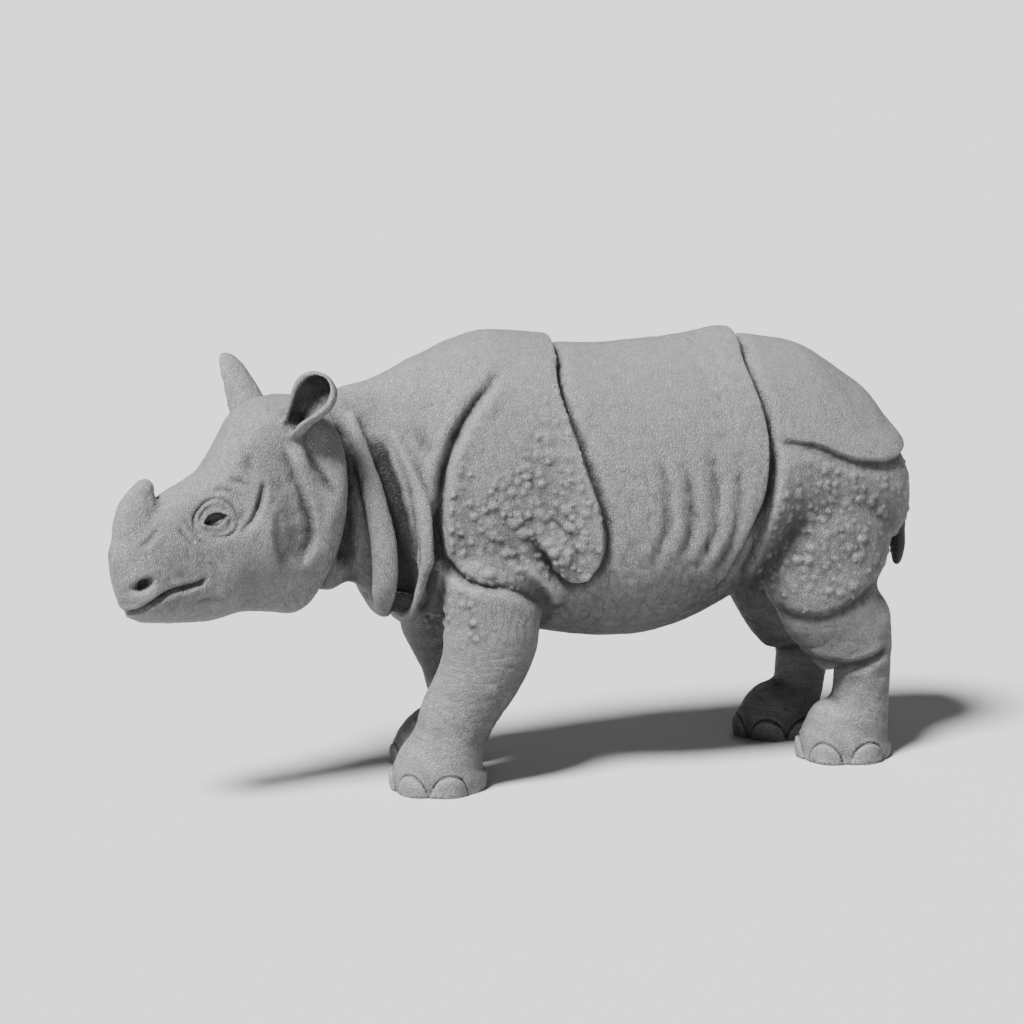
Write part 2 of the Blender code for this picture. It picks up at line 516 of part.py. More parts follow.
def leg_roots(points):
    """How strongly each point belongs to the swelling where a leg grows out of the trunk."""
    low, high = ROOT_HEIGHTS
    height = ease((points[:, 2] - low) / 50.0) * ease((high - points[:, 2]) / 60.0)
    front, rear = FORE_ROOT
    fore = ease((points[:, 0] - front) / 30.0) * ease((rear - points[:, 0]) / 30.0)
    front, rear = HIND_ROOT
    hind = ease((points[:, 0] - front) / 40.0) * (points[:, 0] < rear)
    return height * np.maximum(fore, hind)


def standing(points):
    """Points no lower than the ground, with the sole's rim drawn onto it."""
    points = points.copy()
    points[:, 2] = np.where(points[:, 2] < GROUND + SOLE_RIM, GROUND, points[:, 2])
    return points


def figure_mesh():
    """The whole animal: its parts under one skin, smoothed, carved and set on the ground."""
    parts = [trunk_loft(TRUNK, 70), trunk_loft(NECK, 24), head_loft(HEAD)]
    parts += [limb(leg) for leg in (NEAR_FORELEG, FAR_FORELEG, NEAR_HIND_LEG, FAR_HIND_LEG, TAIL)]
    horn = np.asarray(HORN, float)
    horn[:, :3] = head_to_world(horn[:, :3])
    parts += [limb(horn), ear_loft(NEAR_EAR), ear_loft(FAR_EAR), neck_fold(FOLD_A), neck_fold(FOLD_B)]
    mesh = join_skin(parts + toe_nails(), VOXEL)
    points = coordinates(mesh)
    on_ears = (points[:, 2] > EARS_FROM[1]) & (points[:, 0] < EARS_FROM[0])
    weight = np.where(on_ears | (points[:, 2] < FEET_BELOW), 0.25, 1.0)
    points = smoothed(mesh, points, FIRST_SMOOTHING, weight)
    points = smoothed(mesh, points, ROOT_SMOOTHING, leg_roots(points))
    normal = normals(mesh, points)
    points = points + normal * (body_relief(points, normal) + head_relief(points, normal))[:, None]
    points = smoothed(mesh, points, LAST_SMOOTHING)
    mesh.vertices.foreach_set("co", standing(points).astype(np.float32).ravel())
    mesh.update()
    return mesh


def thinned(mesh, triangles):
    """The mesh with only so many triangles, fewer where it is flat."""
    body = bpy.data.objects.new("dense", mesh)
    bpy.context.scene.collection.objects.link(body)
    thin = body.modifiers.new("thin", "DECIMATE")
    thin.ratio = triangles / (2.0 * len(mesh.polygons))
    graph = bpy.context.evaluated_depsgraph_get()
    result = bpy.data.meshes.new_from_object(body.evaluated_get(graph))
    bpy.data.objects.remove(body)
    return result


def to_size(mesh):
    """Bring the mesh to its length, its middle over the origin and its soles on z = 0."""
    points = standing(coordinates(mesh))
    low, high = points.min(0), points.max(0)
    middle = np.array([(low[0] + high[0]) / 2.0, (low[1] + high[1]) / 2.0, low[2]])
    points = (points - middle) * (LENGTH / (high[0] - low[0]))
    mesh.vertices.foreach_set("co", points.astype(np.float32).ravel())
    mesh.update()


def resin():
    """Matte grey cast resin."""
    material = bpy.data.materials.new("grey_resin")
    material.use_nodes = True
    shader = material.node_tree.nodes["Principled BSDF"]
    shader.inputs["Base Color"].default_value = GREY
    shader.inputs["Roughness"].default_value = ROUGHNESS
    shader.inputs["Metallic"].default_value = 0.0
    return material


def main():
    """Build the figurine in an empty scene."""
    for item in list(bpy.data.objects):
        bpy.data.objects.remove(item)
    mesh = thinned(figure_mesh(), TRIANGLES)
    to_size(mesh)
    mesh.materials.clear()
    mesh.materials.append(resin())
    figure = bpy.data.objects.new("rhinoceros_figurine", mesh)
    group = bpy.data.collections.new("rhinoceros_figurine")
    bpy.context.scene.collection.children.link(group)
    group.objects.link(figure)


main()
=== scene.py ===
"""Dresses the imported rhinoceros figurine: finely carved skin, painted eyes, studio floor, lights, camera."""

import bpy
import numpy as np
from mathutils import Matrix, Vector


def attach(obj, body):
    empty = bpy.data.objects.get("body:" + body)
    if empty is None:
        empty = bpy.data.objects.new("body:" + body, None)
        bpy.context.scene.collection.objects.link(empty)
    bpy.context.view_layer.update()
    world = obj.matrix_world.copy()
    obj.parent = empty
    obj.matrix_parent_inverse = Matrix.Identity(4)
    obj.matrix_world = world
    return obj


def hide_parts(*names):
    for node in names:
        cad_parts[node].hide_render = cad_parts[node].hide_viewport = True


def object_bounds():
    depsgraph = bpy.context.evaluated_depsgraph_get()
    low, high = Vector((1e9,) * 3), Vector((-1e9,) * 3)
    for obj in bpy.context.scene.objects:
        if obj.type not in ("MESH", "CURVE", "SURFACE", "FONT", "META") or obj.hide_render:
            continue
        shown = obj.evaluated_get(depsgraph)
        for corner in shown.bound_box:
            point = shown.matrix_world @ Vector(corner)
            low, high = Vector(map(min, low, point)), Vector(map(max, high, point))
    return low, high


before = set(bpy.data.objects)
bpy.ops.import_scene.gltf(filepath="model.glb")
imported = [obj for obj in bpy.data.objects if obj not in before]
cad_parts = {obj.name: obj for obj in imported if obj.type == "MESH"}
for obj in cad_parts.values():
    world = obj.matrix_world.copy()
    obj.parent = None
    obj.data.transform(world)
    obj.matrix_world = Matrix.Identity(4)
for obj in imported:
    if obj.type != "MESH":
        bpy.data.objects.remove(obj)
CAD_LOW, CAD_HIGH = [np.array(corner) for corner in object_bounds()]

bl_info = {
    "name": "Rhinoceros Figurine",
    "version": (1, 0, 0),
    "blender": (4, 5, 0),
    "location": "View3D > Sidebar > Rhinoceros",
    "description": "Makes the carved skin, finish and studio of a cast rhinoceros figurine",
    "category": "Add Mesh",
}

NODE = "rhinoceros_figurine"
LENGTH = float(CAD_HIGH[0] - CAD_LOW[0])
GROUND = -8.0                       # height of the soles in the tables below, in their own small steps
VOXEL = 2.0                         # cell of the skin that joins the parts
FIRST_SMOOTHING = 11                # passes over the joined skin before it is carved
ROOT_SMOOTHING = 70                 # more passes where the legs grow out of the trunk
LAST_SMOOTHING = 1                  # passes over the carved skin
TRIANGLES = 196000                  # faces of the finished skin

HEAD_TURN = np.radians(15.0)        # the head is turned towards -Y
HEAD_PIVOT = np.array([-235.0, -8.0])
FORWARD = np.array([-np.cos(HEAD_TURN), -np.sin(HEAD_TURN)])
FARWARD = np.array([-np.sin(HEAD_TURN), np.cos(HEAD_TURN)])

# Upright sections of the trunk: x, top, bottom, half width, height of the widest place as a share.
TRUNK = (
    (-150, 480, 200, 62, 0.40), (-120, 502, 192, 78, 0.44), (-80, 520, 182, 92, 0.45),
    (-30, 528, 172, 99, 0.45), (20, 514, 164, 104, 0.44), (60, 508, 157, 111, 0.43),
    (100, 506, 152, 117, 0.42), (150, 508, 154, 119, 0.42), (200, 511, 166, 116, 0.42),
    (250, 511, 188, 109, 0.43), (300, 505, 214, 102, 0.45), (350, 493, 232, 99, 0.46),
    (400, 460, 236, 95, 0.47), (440, 427, 240, 86, 0.48), (464, 388, 246, 73, 0.49),
    (477, 358, 262, 54, 0.50), (485, 330, 284, 26, 0.50))
# The neck's sections, with the distance of their middle from the plane y = 0 added.
NECK = (
    (-262, 455, 236, 31, 0.50, -16), (-235, 466, 229, 33, 0.50, -10), (-210, 472, 238, 35, 0.48, -6),
    (-185, 477, 217, 43, 0.43, -4), (-160, 487, 202, 58, 0.40, -2), (-130, 500, 204, 70, 0.45, 0),
    (-100, 508, 198, 80, 0.45, 0))
# The head's sections across its own forward axis: forward, top, bottom, then four pairs of
# height as a share and half width, from the jaw up to the brow.
HEAD = (
    (10, 452, 266, 0.15, 44, 0.45, 65, 0.75, 59, 0.93, 32),
    (20, 458, 241, 0.15, 47, 0.45, 68, 0.75, 62, 0.93, 36),
    (32, 462, 218, 0.15, 44, 0.45, 66, 0.75, 60, 0.93, 41),
    (46, 466, 209, 0.14, 39, 0.43, 58, 0.75, 54, 0.93, 42),
    (80, 468, 213, 0.12, 32, 0.40, 56, 0.75, 51, 0.93, 40),
    (105, 464, 216, 0.12, 30, 0.40, 54, 0.72, 46, 0.93, 35),
    (125, 450, 217, 0.12, 30, 0.42, 50, 0.72, 43, 0.92, 30),
    (143, 421, 214, 0.12, 30, 0.45, 46, 0.72, 40, 0.92, 28),
    (160, 397, 212, 0.12, 28, 0.45, 42, 0.70, 40, 0.92, 27),
    (180, 385, 213, 0.12, 26, 0.42, 37, 0.70, 36, 0.92, 24),
    (205, 374, 215, 0.12, 26, 0.40, 34, 0.70, 33, 0.92, 21),
    (230, 360, 219, 0.12, 25, 0.38, 33, 0.70, 31, 0.92, 20),
    (252, 347, 224, 0.13, 24, 0.38, 32, 0.70, 27, 0.92, 18),
    (267, 337, 237, 0.15, 19, 0.40, 26, 0.70, 22, 0.90, 15),
    (277, 326, 264, 0.18, 12, 0.45, 17, 0.70, 15, 0.88, 10),
    (283, 314, 295, 0.20, 5, 0.50, 8, 0.70, 7, 0.85, 5))
# Legs from the body down: x, y, z, half length along the body, half width across it.
NEAR_FORELEG = (
    (-50, -62, 260, 60, 36), (-52, -64, 219, 60, 40), (-52, -64, 195, 58, 41), (-55, -64, 171, 57, 41),
    (-60, -62, 147, 54, 41), (-69, -60, 124, 50, 41), (-82, -57, 100, 47, 40), (-95, -55, 76, 45, 40),
    (-102, -54, 55, 43, 40), (-107, -54, 40, 46, 43), (-113, -54, 22, 54, 46), (-114, -54, 10, 56, 47),
    (-114, -54, -16, 54, 45))
FAR_FORELEG = (
    (-60, 62, 250, 58, 36), (-72, 64, 200, 56, 40), (-80, 64, 174, 51, 40), (-70, 63, 144, 47, 39),
    (-60, 62, 119, 45, 38), (-54, 61, 87, 43, 38), (-46, 61, 60, 36, 37), (-54, 61, 38, 38, 40),
    (-75, 61, 22, 48, 44), (-83, 61, 10, 55, 46), (-83, 61, -16, 53, 44))
NEAR_HIND_LEG = (
    (382, -52, 330, 66, 38), (373, -56, 288, 78, 42), (367, -58, 250, 82, 43), (365, -61, 215, 74, 44),
    (372, -62, 185, 64, 43), (386, -61, 163, 60, 41), (398, -60, 146, 59, 41), (405, -60, 134, 54, 40),
    (413, -60, 122, 43, 37), (416, -60, 110, 36, 35), (416, -60, 86, 35, 35), (415, -60, 66, 35, 36),
    (411, -60, 48, 40, 40), (403, -60, 32, 52, 44), (398, -60, 18, 56, 47), (397, -60, 8, 57, 48),
    (397, -60, -16, 55, 46))
FAR_HIND_LEG = (
    (360, 52, 330, 64, 38), (350, 56, 288, 76, 42), (342, 58, 250, 78, 42), (343, 61, 215, 71, 44),
    (353, 62, 180, 60, 43),
    (364, 61, 155, 56, 41), (377, 60, 132, 49, 40), (386, 61, 114, 37, 37), (386, 62, 98, 33, 35),
    (384, 62, 70, 32, 34), (381, 62, 50, 31, 36), (372, 63, 34, 37, 40), (361, 64, 20, 48, 43),
    (357, 64, 8, 53, 44), (357, 64, -16, 51, 42))
TAIL = (
    (466, 0, 366, 9, 10), (482, 0, 338, 9, 9), (488, 0, 308, 8, 9), (487, 0, 280, 8, 9),
    (485, 0, 255, 9, 10), (485, 0, 232, 9, 11), (484, 0, 215, 6, 7))
# Horn and ears in the head's own frame: forward, sideways, height.
HORN = (
    (250, 0, 312, 28, 23), (249, 0, 336, 28, 20), (246, 0, 355, 24, 16), (241, 0, 370, 17, 12),
    (237, 0, 378, 12, 10))
EAR_LEAN = np.radians(34.0)         # outward from upright
EAR_WALL = 7.0
# Each ear: side of the head, root, length, forward step along it, forward and outward share of the way
# it opens, then its curl along it: share of the length, radius, half angle of the wall.
NEAR_EAR = (
    -1, (74, 36, 427), 89.0, -0.28, (0.90, 0.42),
    ((0.0, 13, 155), (0.38, 19, 138), (0.62, 25, 120), (0.82, 25, 104), (0.94, 18, 92), (1.0, 8, 75)))
FAR_EAR = (
    1, (73, 40, 425), 96.0, 0.20, (0.70, 0.70),
    ((0.0, 25, 150), (0.35, 24, 130), (0.60, 22, 112), (0.80, 19, 100), (0.93, 14, 90), (1.0, 8, 75)))
# Neck folds, from the nape round the near side to the throat: x, y, z, half length, half height.
NECK_REACH = 50.0                   # the neck lies this near its middle, and the ruff further out
FOLD_A = (
    (-214, -31, 438, 8, 7), (-206, -42, 404, 11, 10), (-197, -51, 369, 14, 13), (-189, -56, 334, 16, 15),
    (-182, -58, 299, 17, 17), (-178, -56, 264, 17, 18), (-176, -47, 232, 16, 18), (-172, -25, 211, 15, 14))
FOLD_B = (
    (-168, -44, 418, 5, 3), (-154, -56, 385, 9, 6), (-143, -66, 350, 12, 8), (-137, -73, 312, 13, 10),
    (-136, -72, 276, 13, 12), (-139, -60, 242, 13, 14), (-143, -43, 214, 14, 15), (-146, -20, 202, 16, 14))
# Where the joined skin is smoothed more, and less: limits along x and in height.
FORE_ROOT = (-118.0, 50.0)
HIND_ROOT = (235.0, 476.0)
ROOT_HEIGHTS = (150.0, 340.0)
EARS_FROM = (-210.0, 440.0)
FEET_BELOW = 30.0
SOLE_RIM = 1.5                      # the sole's rim is drawn onto the ground from this height
# Toes: middle of the sole, turn of each nail about it, radii of the sole.
FEET = (
    ((-114, -54), (268, 217, 160), (56, 47)), ((-83, 61), (240, 180, 120), (55, 46)),
    ((398, -60), (280, 224, 165), (58, 48)), ((357, 64), (290, 237, 180), (53, 44)))
NAIL = (12.0, 21.0, 23.0)           # half thickness, half width, half height
NAIL_HEIGHT = 5.0
NAIL_DEPTH = 9.0                    # from the sole's rim to the nail's middle

FAR_OFF = 1000.0                    # stands for the distance of points that no line reaches
# Edges of the skin plates in side view, x and height, raised on the left of the way they run.
SHIELD_REAR = (
    (9, 263), (18, 249), (31, 240), (47, 241), (61, 254), (69, 274), (70, 295), (66, 322), (58, 351),
    (49, 380), (41, 409), (33, 437), (28, 459), (28, 480), (33, 498), (38, 530))
PLATE_REAR = (
    (206, 206), (221, 232), (233, 255), (246, 279), (258, 303), (269, 326), (276, 355), (278, 384),
    (277, 413), (271, 442), (265, 464), (261, 480), (263, 498), (268, 530))
RUMP_LOW = (
    (284, 397), (300, 393), (317, 390), (337, 386), (357, 377), (377, 368), (405, 361), (436, 359),
    (460, 365), (500, 378))
THIGH_FRONT = (
    (290, 398), (288, 360), (281, 325), (273, 295), (266, 270), (258, 244), (254, 222))
THIGH_LOW = (
    (254, 224), (272, 203), (298, 187), (323, 177), (345, 177), (369, 185), (395, 199), (415, 212),
    (450, 222))
# Furrows of the skin in side view.
NECK_CHANNEL = (
    (-188, 425), (-180, 391), (-171, 359), (-163, 327), (-157, 295), (-156, 263), (-158, 230), (-160, 206))
BEHIND_RUFF = ((-236, 439), (-229, 388), (-223, 336), (-221, 289), (-223, 252))
SHOULDER_DENT = ((-147, 440), (-139, 416), (-131, 390))
THROAT_GAP = ((-123, 288), (-124, 264), (-127, 244), (-132, 222), (-137, 198))
SHIELD_FRONT = (
    (-30, 497), (-47, 483), (-64, 466), (-82, 446), (-96, 425), (-109, 397), (-118, 366), (-121, 333),
    (-121, 297), (-118, 277), (-105, 257), (-88, 246), (-72, 242), (-42, 238), (-19, 227), (2, 208))
LOBE_NOTCH = ((-7, 288), (1, 275), (9, 262), (19, 248), (30, 240))
AXIL_RIDGE = ((-34, 270), (-18, 258), (-2, 243), (14, 227), (26, 208))
RIBS = (
    ((125, 405), (135, 385), (142, 359), (145, 330), (144, 300), (136, 277), (123, 246)),
    ((165, 386), (171, 363), (175, 334), (176, 304), (170, 280), (155, 257)),
    ((190, 407), (200, 384), (206, 355), (208, 325), (205, 296), (195, 272), (176, 242)),
    ((233, 382), (236, 353), (234, 323), (229, 293), (216, 263), (198, 233)))
KNEE_FOLD = ((333, 125), (348, 117), (368, 113), (387, 111), (405, 114), (422, 121), (438, 131))
# Folds of the head in its own side view, forward and height.
RUFF_EDGE = (
    (68, 266), (60, 282), (54, 297), (52, 312), (54, 329), (59, 346), (65, 363), (71, 380), (78, 400),
    (85, 422))
RUFF_CREASE = ((62, 424), (55, 406), (48, 391), (41, 378), (33, 364), (27, 350))
RUFF_HOLLOW = ((100, 402), (90, 372), (81, 344), (75, 318), (74, 296), (79, 272))
JAW_EDGE = ((96, 352), (99, 338), (99, 322), (96, 304), (89, 285), (80, 266))
EYE_POUCH = ((110, 383), (114, 364), (121, 347), (131, 332), (144, 321), (158, 315))
MOUTH = ((264, 237), (244, 251), (222, 262), (200, 265), (185, 269), (178, 276))
NAPE, CROWN = 5.0, 470.0            # the head's relief ends behind one and above the other
NOSTRIL = (257, 272)
NOSTRIL_TILT = np.radians(153.0)
NOSTRIL_SIZE = (11.5, 6.5, 12.0)    # half length, half height, depth
EYE = (167, 339)
EYE_SOCKET = (26.0, 20.0, 7.0)      # half length, half height, depth
# Plates: edge, rise along it, reach of the swelling behind it, depths of the gutter, lip, fades, lead.
BODY_PLATES = (
    (SHIELD_REAR, (11, 11, 11, 11, 10, 9, 9, 8), 60.0, (4, 4, 3), 7.0, (0.0, 0.0), 50.0),
    (PLATE_REAR, (5, 7, 8, 8, 8, 8, 8, 7), 60.0, (3, 8, 10, 9, 6, 4, 3), 8.0, (0.1, 0.0)),
    (RUMP_LOW, (1, 2, 4, 6, 7, 7), 40.0, (2.5,), 6.0, (0.1, 0.0)),
    (THIGH_FRONT, (3, 4, 5, 5), 40.0, (3,), 8.0, (0.2, 0.1)),
    (THIGH_LOW, (3, 4, 5, 5, 4, 2), 40.0, (2,), 14.0, (0.15, 0.25)))
HEAD_PLATES = (
    (RUFF_EDGE, (4, 7, 9, 8, 6), 32.0, (3, 5, 5, 4, 3), 6.0, (0.2, 0.15)),
    (JAW_EDGE, (3, 6, 7, 4), 36.0, (1,), 12.0, (0.3, 0.35)))
# Furrows: line, depths along it, width, height of its shoulders as a share, fades, squareness.
BEHIND_RUFF_FOLD = (BEHIND_RUFF, (5, 9, 11, 11, 9), 11.0, 0.0, (0.12, 0.12), 3)
BODY_FOLDS = (
    (SHIELD_FRONT, (3, 8, 12, 14, 14, 9, 4, 4), 5.5, 0.15, (0.12, 0.05)),
    (LOBE_NOTCH, (3, 4, 3), 5.0, 0.0, (0.5, 0.1)), (AXIL_RIDGE, (-5, -9, -8), 8.5, 0.3, (0.3, 0.2)),
    (THROAT_GAP, (3, 6, 8, 8, 6), 6.0, 0.0, (0.3, 0.15)), (SHOULDER_DENT, (3,), 9.0, 0.0, (0.5, 0.5)),
    (KNEE_FOLD, (4.0,), 5.0, 0.4), (NECK_CHANNEL, (5, 9, 12, 14, 14, 13, 11), 8.5, 0.0, (0.2, 0.0), 3),
    *((rib, (2.8,), 6.5, 0.35, (0.35, 0.25)) for rib in RIBS))
HEAD_FOLDS = (
    (RUFF_CREASE, (5.0,), 5.0, 0.2, (0.3, 0.3)), (RUFF_HOLLOW, (2, 5, 7, 6, 4), 14.0, 0.0, (0.25, 0.2)),
    (EYE_POUCH, (5, 5, 3, 2), 3.2, 0.2, (0.2, 0.4)), (MOUTH, (6, 7, 6, 5), 3.0, 0.22, (0.0, 0.12)))


def lengths(points):
    """Distance along a line of points from its first one."""
    return np.concatenate([[0.0], np.cumsum(np.linalg.norm(np.diff(points, axis=0), axis=1))])


def unit(vectors):
    """Vectors scaled to length 1."""
    return vectors / np.linalg.norm(vectors, axis=-1, keepdims=True)


def spline(knots, values, at):
    """Cubic curve through the values at the knots, with each slope weighed from its two neighbours."""
    knots, at = np.asarray(knots, float), np.asarray(at, float)
    values = np.asarray(values, float)
    gap = np.diff(knots)[:, None]
    slope = np.diff(values, axis=0) / gap
    inner = (slope[:-1] * gap[1:] + slope[1:] * gap[:-1]) / (gap[:-1] + gap[1:])
    tangent = np.vstack([slope[:1], inner, slope[-1:]])
    cell = np.clip(np.searchsorted(knots, at, side="right") - 1, 0, len(knots) - 2)
    width = gap[cell]
    t = (at - knots[cell])[:, None] / width
    start = (2 * t**3 - 3 * t**2 + 1) * values[cell] + (t**3 - 2 * t**2 + t) * width * tangent[cell]
    end = (3 * t**2 - 2 * t**3) * values[cell + 1] + (t**3 - t**2) * width * tangent[cell + 1]
    return start + end


def ease(x):
    """Smooth climb from 0 to 1 while x goes from 0 to 1."""
    x = np.clip(x, 0.0, 1.0)
    return x * x * (3.0 - 2.0 * x)


def power(wave, exponent):
    """A sine or cosine bent so that the ellipse it draws grows squarer as the exponent rises."""
    return np.sign(wave) * np.abs(wave) ** (2.0 / exponent)


def loft(rings):
    """Vertices and faces of a closed skin over rings of points, with a fan on both ends."""
    count, around = rings.shape[:2]
    points = np.vstack([rings.reshape(-1, 3), rings[0].mean(0), rings[-1].mean(0)])
    i, j = np.meshgrid(np.arange(count - 1), np.arange(around), indexing="ij")
    k = (j + 1) % around
    quads = np.stack([i * around + j, i * around + k, (i + 1) * around + k, (i + 1) * around + j], -1)
    j = np.arange(around)
    k = (j + 1) % around
    first, last = count * around, (count - 1) * around
    start = np.stack([np.full(around, first), k, j], -1)
    end = np.stack([np.full(around, first + 1), last + j, last + k], -1)
    return points, quads.reshape(-1, 4).tolist() + start.tolist() + end.tolist()


def trunk_loft(table, count, around=48, upper=2.0, lower=2.2):
    """Skin over upright sections, each two half ellipses that meet at its widest place."""
    table = np.asarray(table, float)
    x = np.linspace(table[0, 0], table[-1, 0], count)
    values = spline(table[:, 0], table[:, 1:], x)
    top, bottom, half, share = values[:, :4].T
    middle = values[:, 4] if values.shape[1] > 4 else np.zeros(count)
    wide = bottom + share * (top - bottom)
    turn = np.linspace(0.0, 2.0 * np.pi, around, endpoint=False)
    rising = np.sin(turn) >= 0
    bend = np.where(rising, upper, lower)
    across = power(np.cos(turn), bend)
    height = np.where(rising, (top - wide)[:, None], (wide - bottom)[:, None])
    z = wide[:, None] + height * power(np.sin(turn), bend)
    y = middle[:, None] - half[:, None] * across
    return loft(np.stack([np.broadcast_to(x[:, None], z.shape), y, z], -1))


def head_to_world(points):
    """Points given as forward, sideways and height in the head's frame, in the world's."""
    points = np.asarray(points, float)
    flat = HEAD_PIVOT + points[..., :1] * FORWARD + points[..., 1:2] * FARWARD
    return np.concatenate([flat, points[..., 2:3]], -1)


def in_head(points):
    """World points in the head's own side view, forward and height, and how far they lie to its side."""
    flat = points[:, :2] - HEAD_PIVOT
    return np.stack([flat @ FORWARD, points[:, 2]], -1), flat @ FARWARD


def head_loft(table, count=80, around=64):
    """Skin over the head's sections, each a closed curve through its four widths on both sides."""
    table = np.asarray(table, float)
    forward = np.linspace(table[0, 0], table[-1, 0], count)
    rings = []
    for place, row in zip(forward, spline(table[:, 0], table[:, 1:], forward)):
        top, bottom = row[:2]
        height = bottom + (top - bottom) * np.concatenate([[0.0], row[2::2], [1.0]])
        half = np.concatenate([[0.0], row[3::2], [0.0]])
        side = np.concatenate([half, -half[-2:0:-1]])
        level = np.concatenate([height, height[-2:0:-1]])
        ring = np.stack([np.full(len(side), place), side, level], -1)
        closed = np.vstack([ring[-2:], ring, ring[:3]])
        run = lengths(closed)
        rings.append(spline(run, closed, np.linspace(run[2], run[2 + len(ring)], around, endpoint=False)))
    return loft(head_to_world(np.array(rings)))


def limb(table, rings=44, around=32, side=(0.0, 1.0, 0.0)):
    """Skin over a path of elliptic sections with rounded ends; the fifth number lies along side."""
    table = np.asarray(table, float)
    run = lengths(table[:, :3])
    values = spline(run, table, np.linspace(0.0, run[-1], rings))
    middle, long_half, side_half = values[:, :3], values[:, 3], values[:, 4]
    along = unit(np.gradient(middle, axis=0))
    out = unit(np.cross(np.asarray(side, float), along))
    across = np.cross(along, out)
    turn = np.linspace(0.0, 2.0 * np.pi, around, endpoint=False)

    def section(centre, index, scale):
        """One elliptic ring about a centre."""
        first = out[index] * long_half[index] * scale
        second = across[index] * side_half[index] * scale
        return centre + np.cos(turn)[:, None] * first + np.sin(turn)[:, None] * second

    body = [section(middle[i], i, 1.0) for i in range(rings)]
    dome = np.radians([25.0, 50.0, 70.0, 84.0])
    reach = np.minimum(long_half, side_half)
    start = [section(middle[0] - along[0] * np.sin(a) * reach[0], 0, np.cos(a)) for a in dome[::-1]]
    end = [section(middle[-1] + along[-1] * np.sin(a) * reach[-1], -1, np.cos(a)) for a in dome]
    return loft(np.array(start + body + end))


def ear_loft(ear, rings=26, around=30):
    """A curled leaf: its wall follows an arc that opens forward and outward and narrows to the tip."""
    way, root, reach_up, nod, (ahead, aside), curl = ear
    curl = np.asarray(curl, float)
    share = 1.0 - (1.0 - np.linspace(0.0, 1.0, rings)) ** 1.5
    radius, half_angle = spline(curl[:, 0], curl[:, 1:], share).T
    axis = unit(np.array([nod, way * np.sin(EAR_LEAN), np.cos(EAR_LEAN)]))
    outward = np.array([0.0, way * np.cos(EAR_LEAN), -np.sin(EAR_LEAN)])
    opening = ahead * np.array([1.0, 0.0, 0.0]) + aside * outward
    opening = unit(opening - axis * (opening @ axis))
    side = np.cross(axis, opening)
    sweep = np.linspace(-1.0, 1.0, around)
    skins = []
    for wall, turn in ((0.0, 1), (EAR_WALL, -1)):
        angle = np.radians(half_angle)[:, None] * sweep[::turn] + np.pi
        reach = (radius - np.minimum(wall, radius * 0.7))[:, None]
        across, deep = reach * np.sin(angle), reach * np.cos(angle)
        skins.append(across[..., None] * side + deep[..., None] * opening)
    foot = np.array([root[0], way * root[1], root[2]], float)
    spine = foot + share[:, None] * reach_up * axis
    return loft(head_to_world(np.concatenate(skins, 1) + spine[:, None]))


def ball(centre, radii, turn=0.0, rings=14, around=20):
    """An ellipsoid turned about the upright axis."""
    polar = np.linspace(0.06, np.pi - 0.06, rings)
    round_ = np.linspace(0.0, 2.0 * np.pi, around, endpoint=False)
    x = np.sin(polar)[:, None] * np.cos(round_) * radii[0]
    y = np.sin(polar)[:, None] * np.sin(round_) * radii[1]
    z = np.broadcast_to(np.cos(polar)[:, None] * radii[2], x.shape)
    c, s = np.cos(turn), np.sin(turn)
    return loft(np.stack([c * x - s * y, s * x + c * y, z], -1) + np.asarray(centre, float))


def neck_fold(table):
    """A roll of skin that hangs round the throat from one side of the nape to the other."""
    near, neck = np.asarray(table, float), np.asarray(NECK, float)
    far = near[::-1].copy()
    far[:, 1] = 2.0 * np.interp(far[:, 0], neck[:, 0], neck[:, 5]) - far[:, 1]
    throat = (near[-1] + far[0]) / 2.0 - np.array([0.0, 0.0, 2.0, 0.0, 0.0])
    return limb(np.vstack([near, throat, far]), rings=90, around=24, side=(1.0, 0.0, 0.0))


def toe_nails():
    """A flattened ball for each nail, set into the rim of its foot."""
    parts = []
    for middle, turns, (long_half, side_half) in FEET:
        for angle in np.radians(turns):
            rim = np.array([np.cos(angle), np.sin(angle)]) * (np.array([long_half, side_half]) - NAIL_DEPTH)
            centre = (*(np.array(middle) + rim), NAIL_HEIGHT)
            parts.append(ball(centre, NAIL, angle))
    return parts


def add_object(name, data, location=(0.0, 0.0, 0.0), looking=None):
    """A new object with that data in the scene; its -Z looks along a direction where one is given."""
    item = bpy.data.objects.new(name, data)
    item.location = location
    if looking is not None:
        item.rotation_euler = looking.to_track_quat("-Z", "Y").to_euler()
    bpy.context.scene.collection.objects.link(item)
    return item


def join_skin(parts, voxel):
    """One closed skin round all the parts, by a voxel remesh."""
    points, faces, base = [], [], 0
    for part_points, part_faces in parts:
        points.append(part_points)
        faces += [[index + base for index in face] for face in part_faces]
        base += len(part_points)
    mesh = bpy.data.meshes.new("parts")
    mesh.from_pydata(np.vstack(points).tolist(), [], faces)
    body = add_object("parts", mesh)
    skin = body.modifiers.new("skin", "REMESH")
    skin.mode, skin.voxel_size, skin.adaptivity = "VOXEL", voxel, 0.0
    graph = bpy.context.evaluated_depsgraph_get()
    joined = bpy.data.meshes.new_from_object(body.evaluated_get(graph))
    bpy.data.objects.remove(body)
    return joined


def coordinates(mesh):
    """The mesh's vertices as an array."""
    flat = np.empty(len(mesh.vertices) * 3, np.float32)
    mesh.vertices.foreach_get("co", flat)
    return flat.reshape(-1, 3).astype(float)


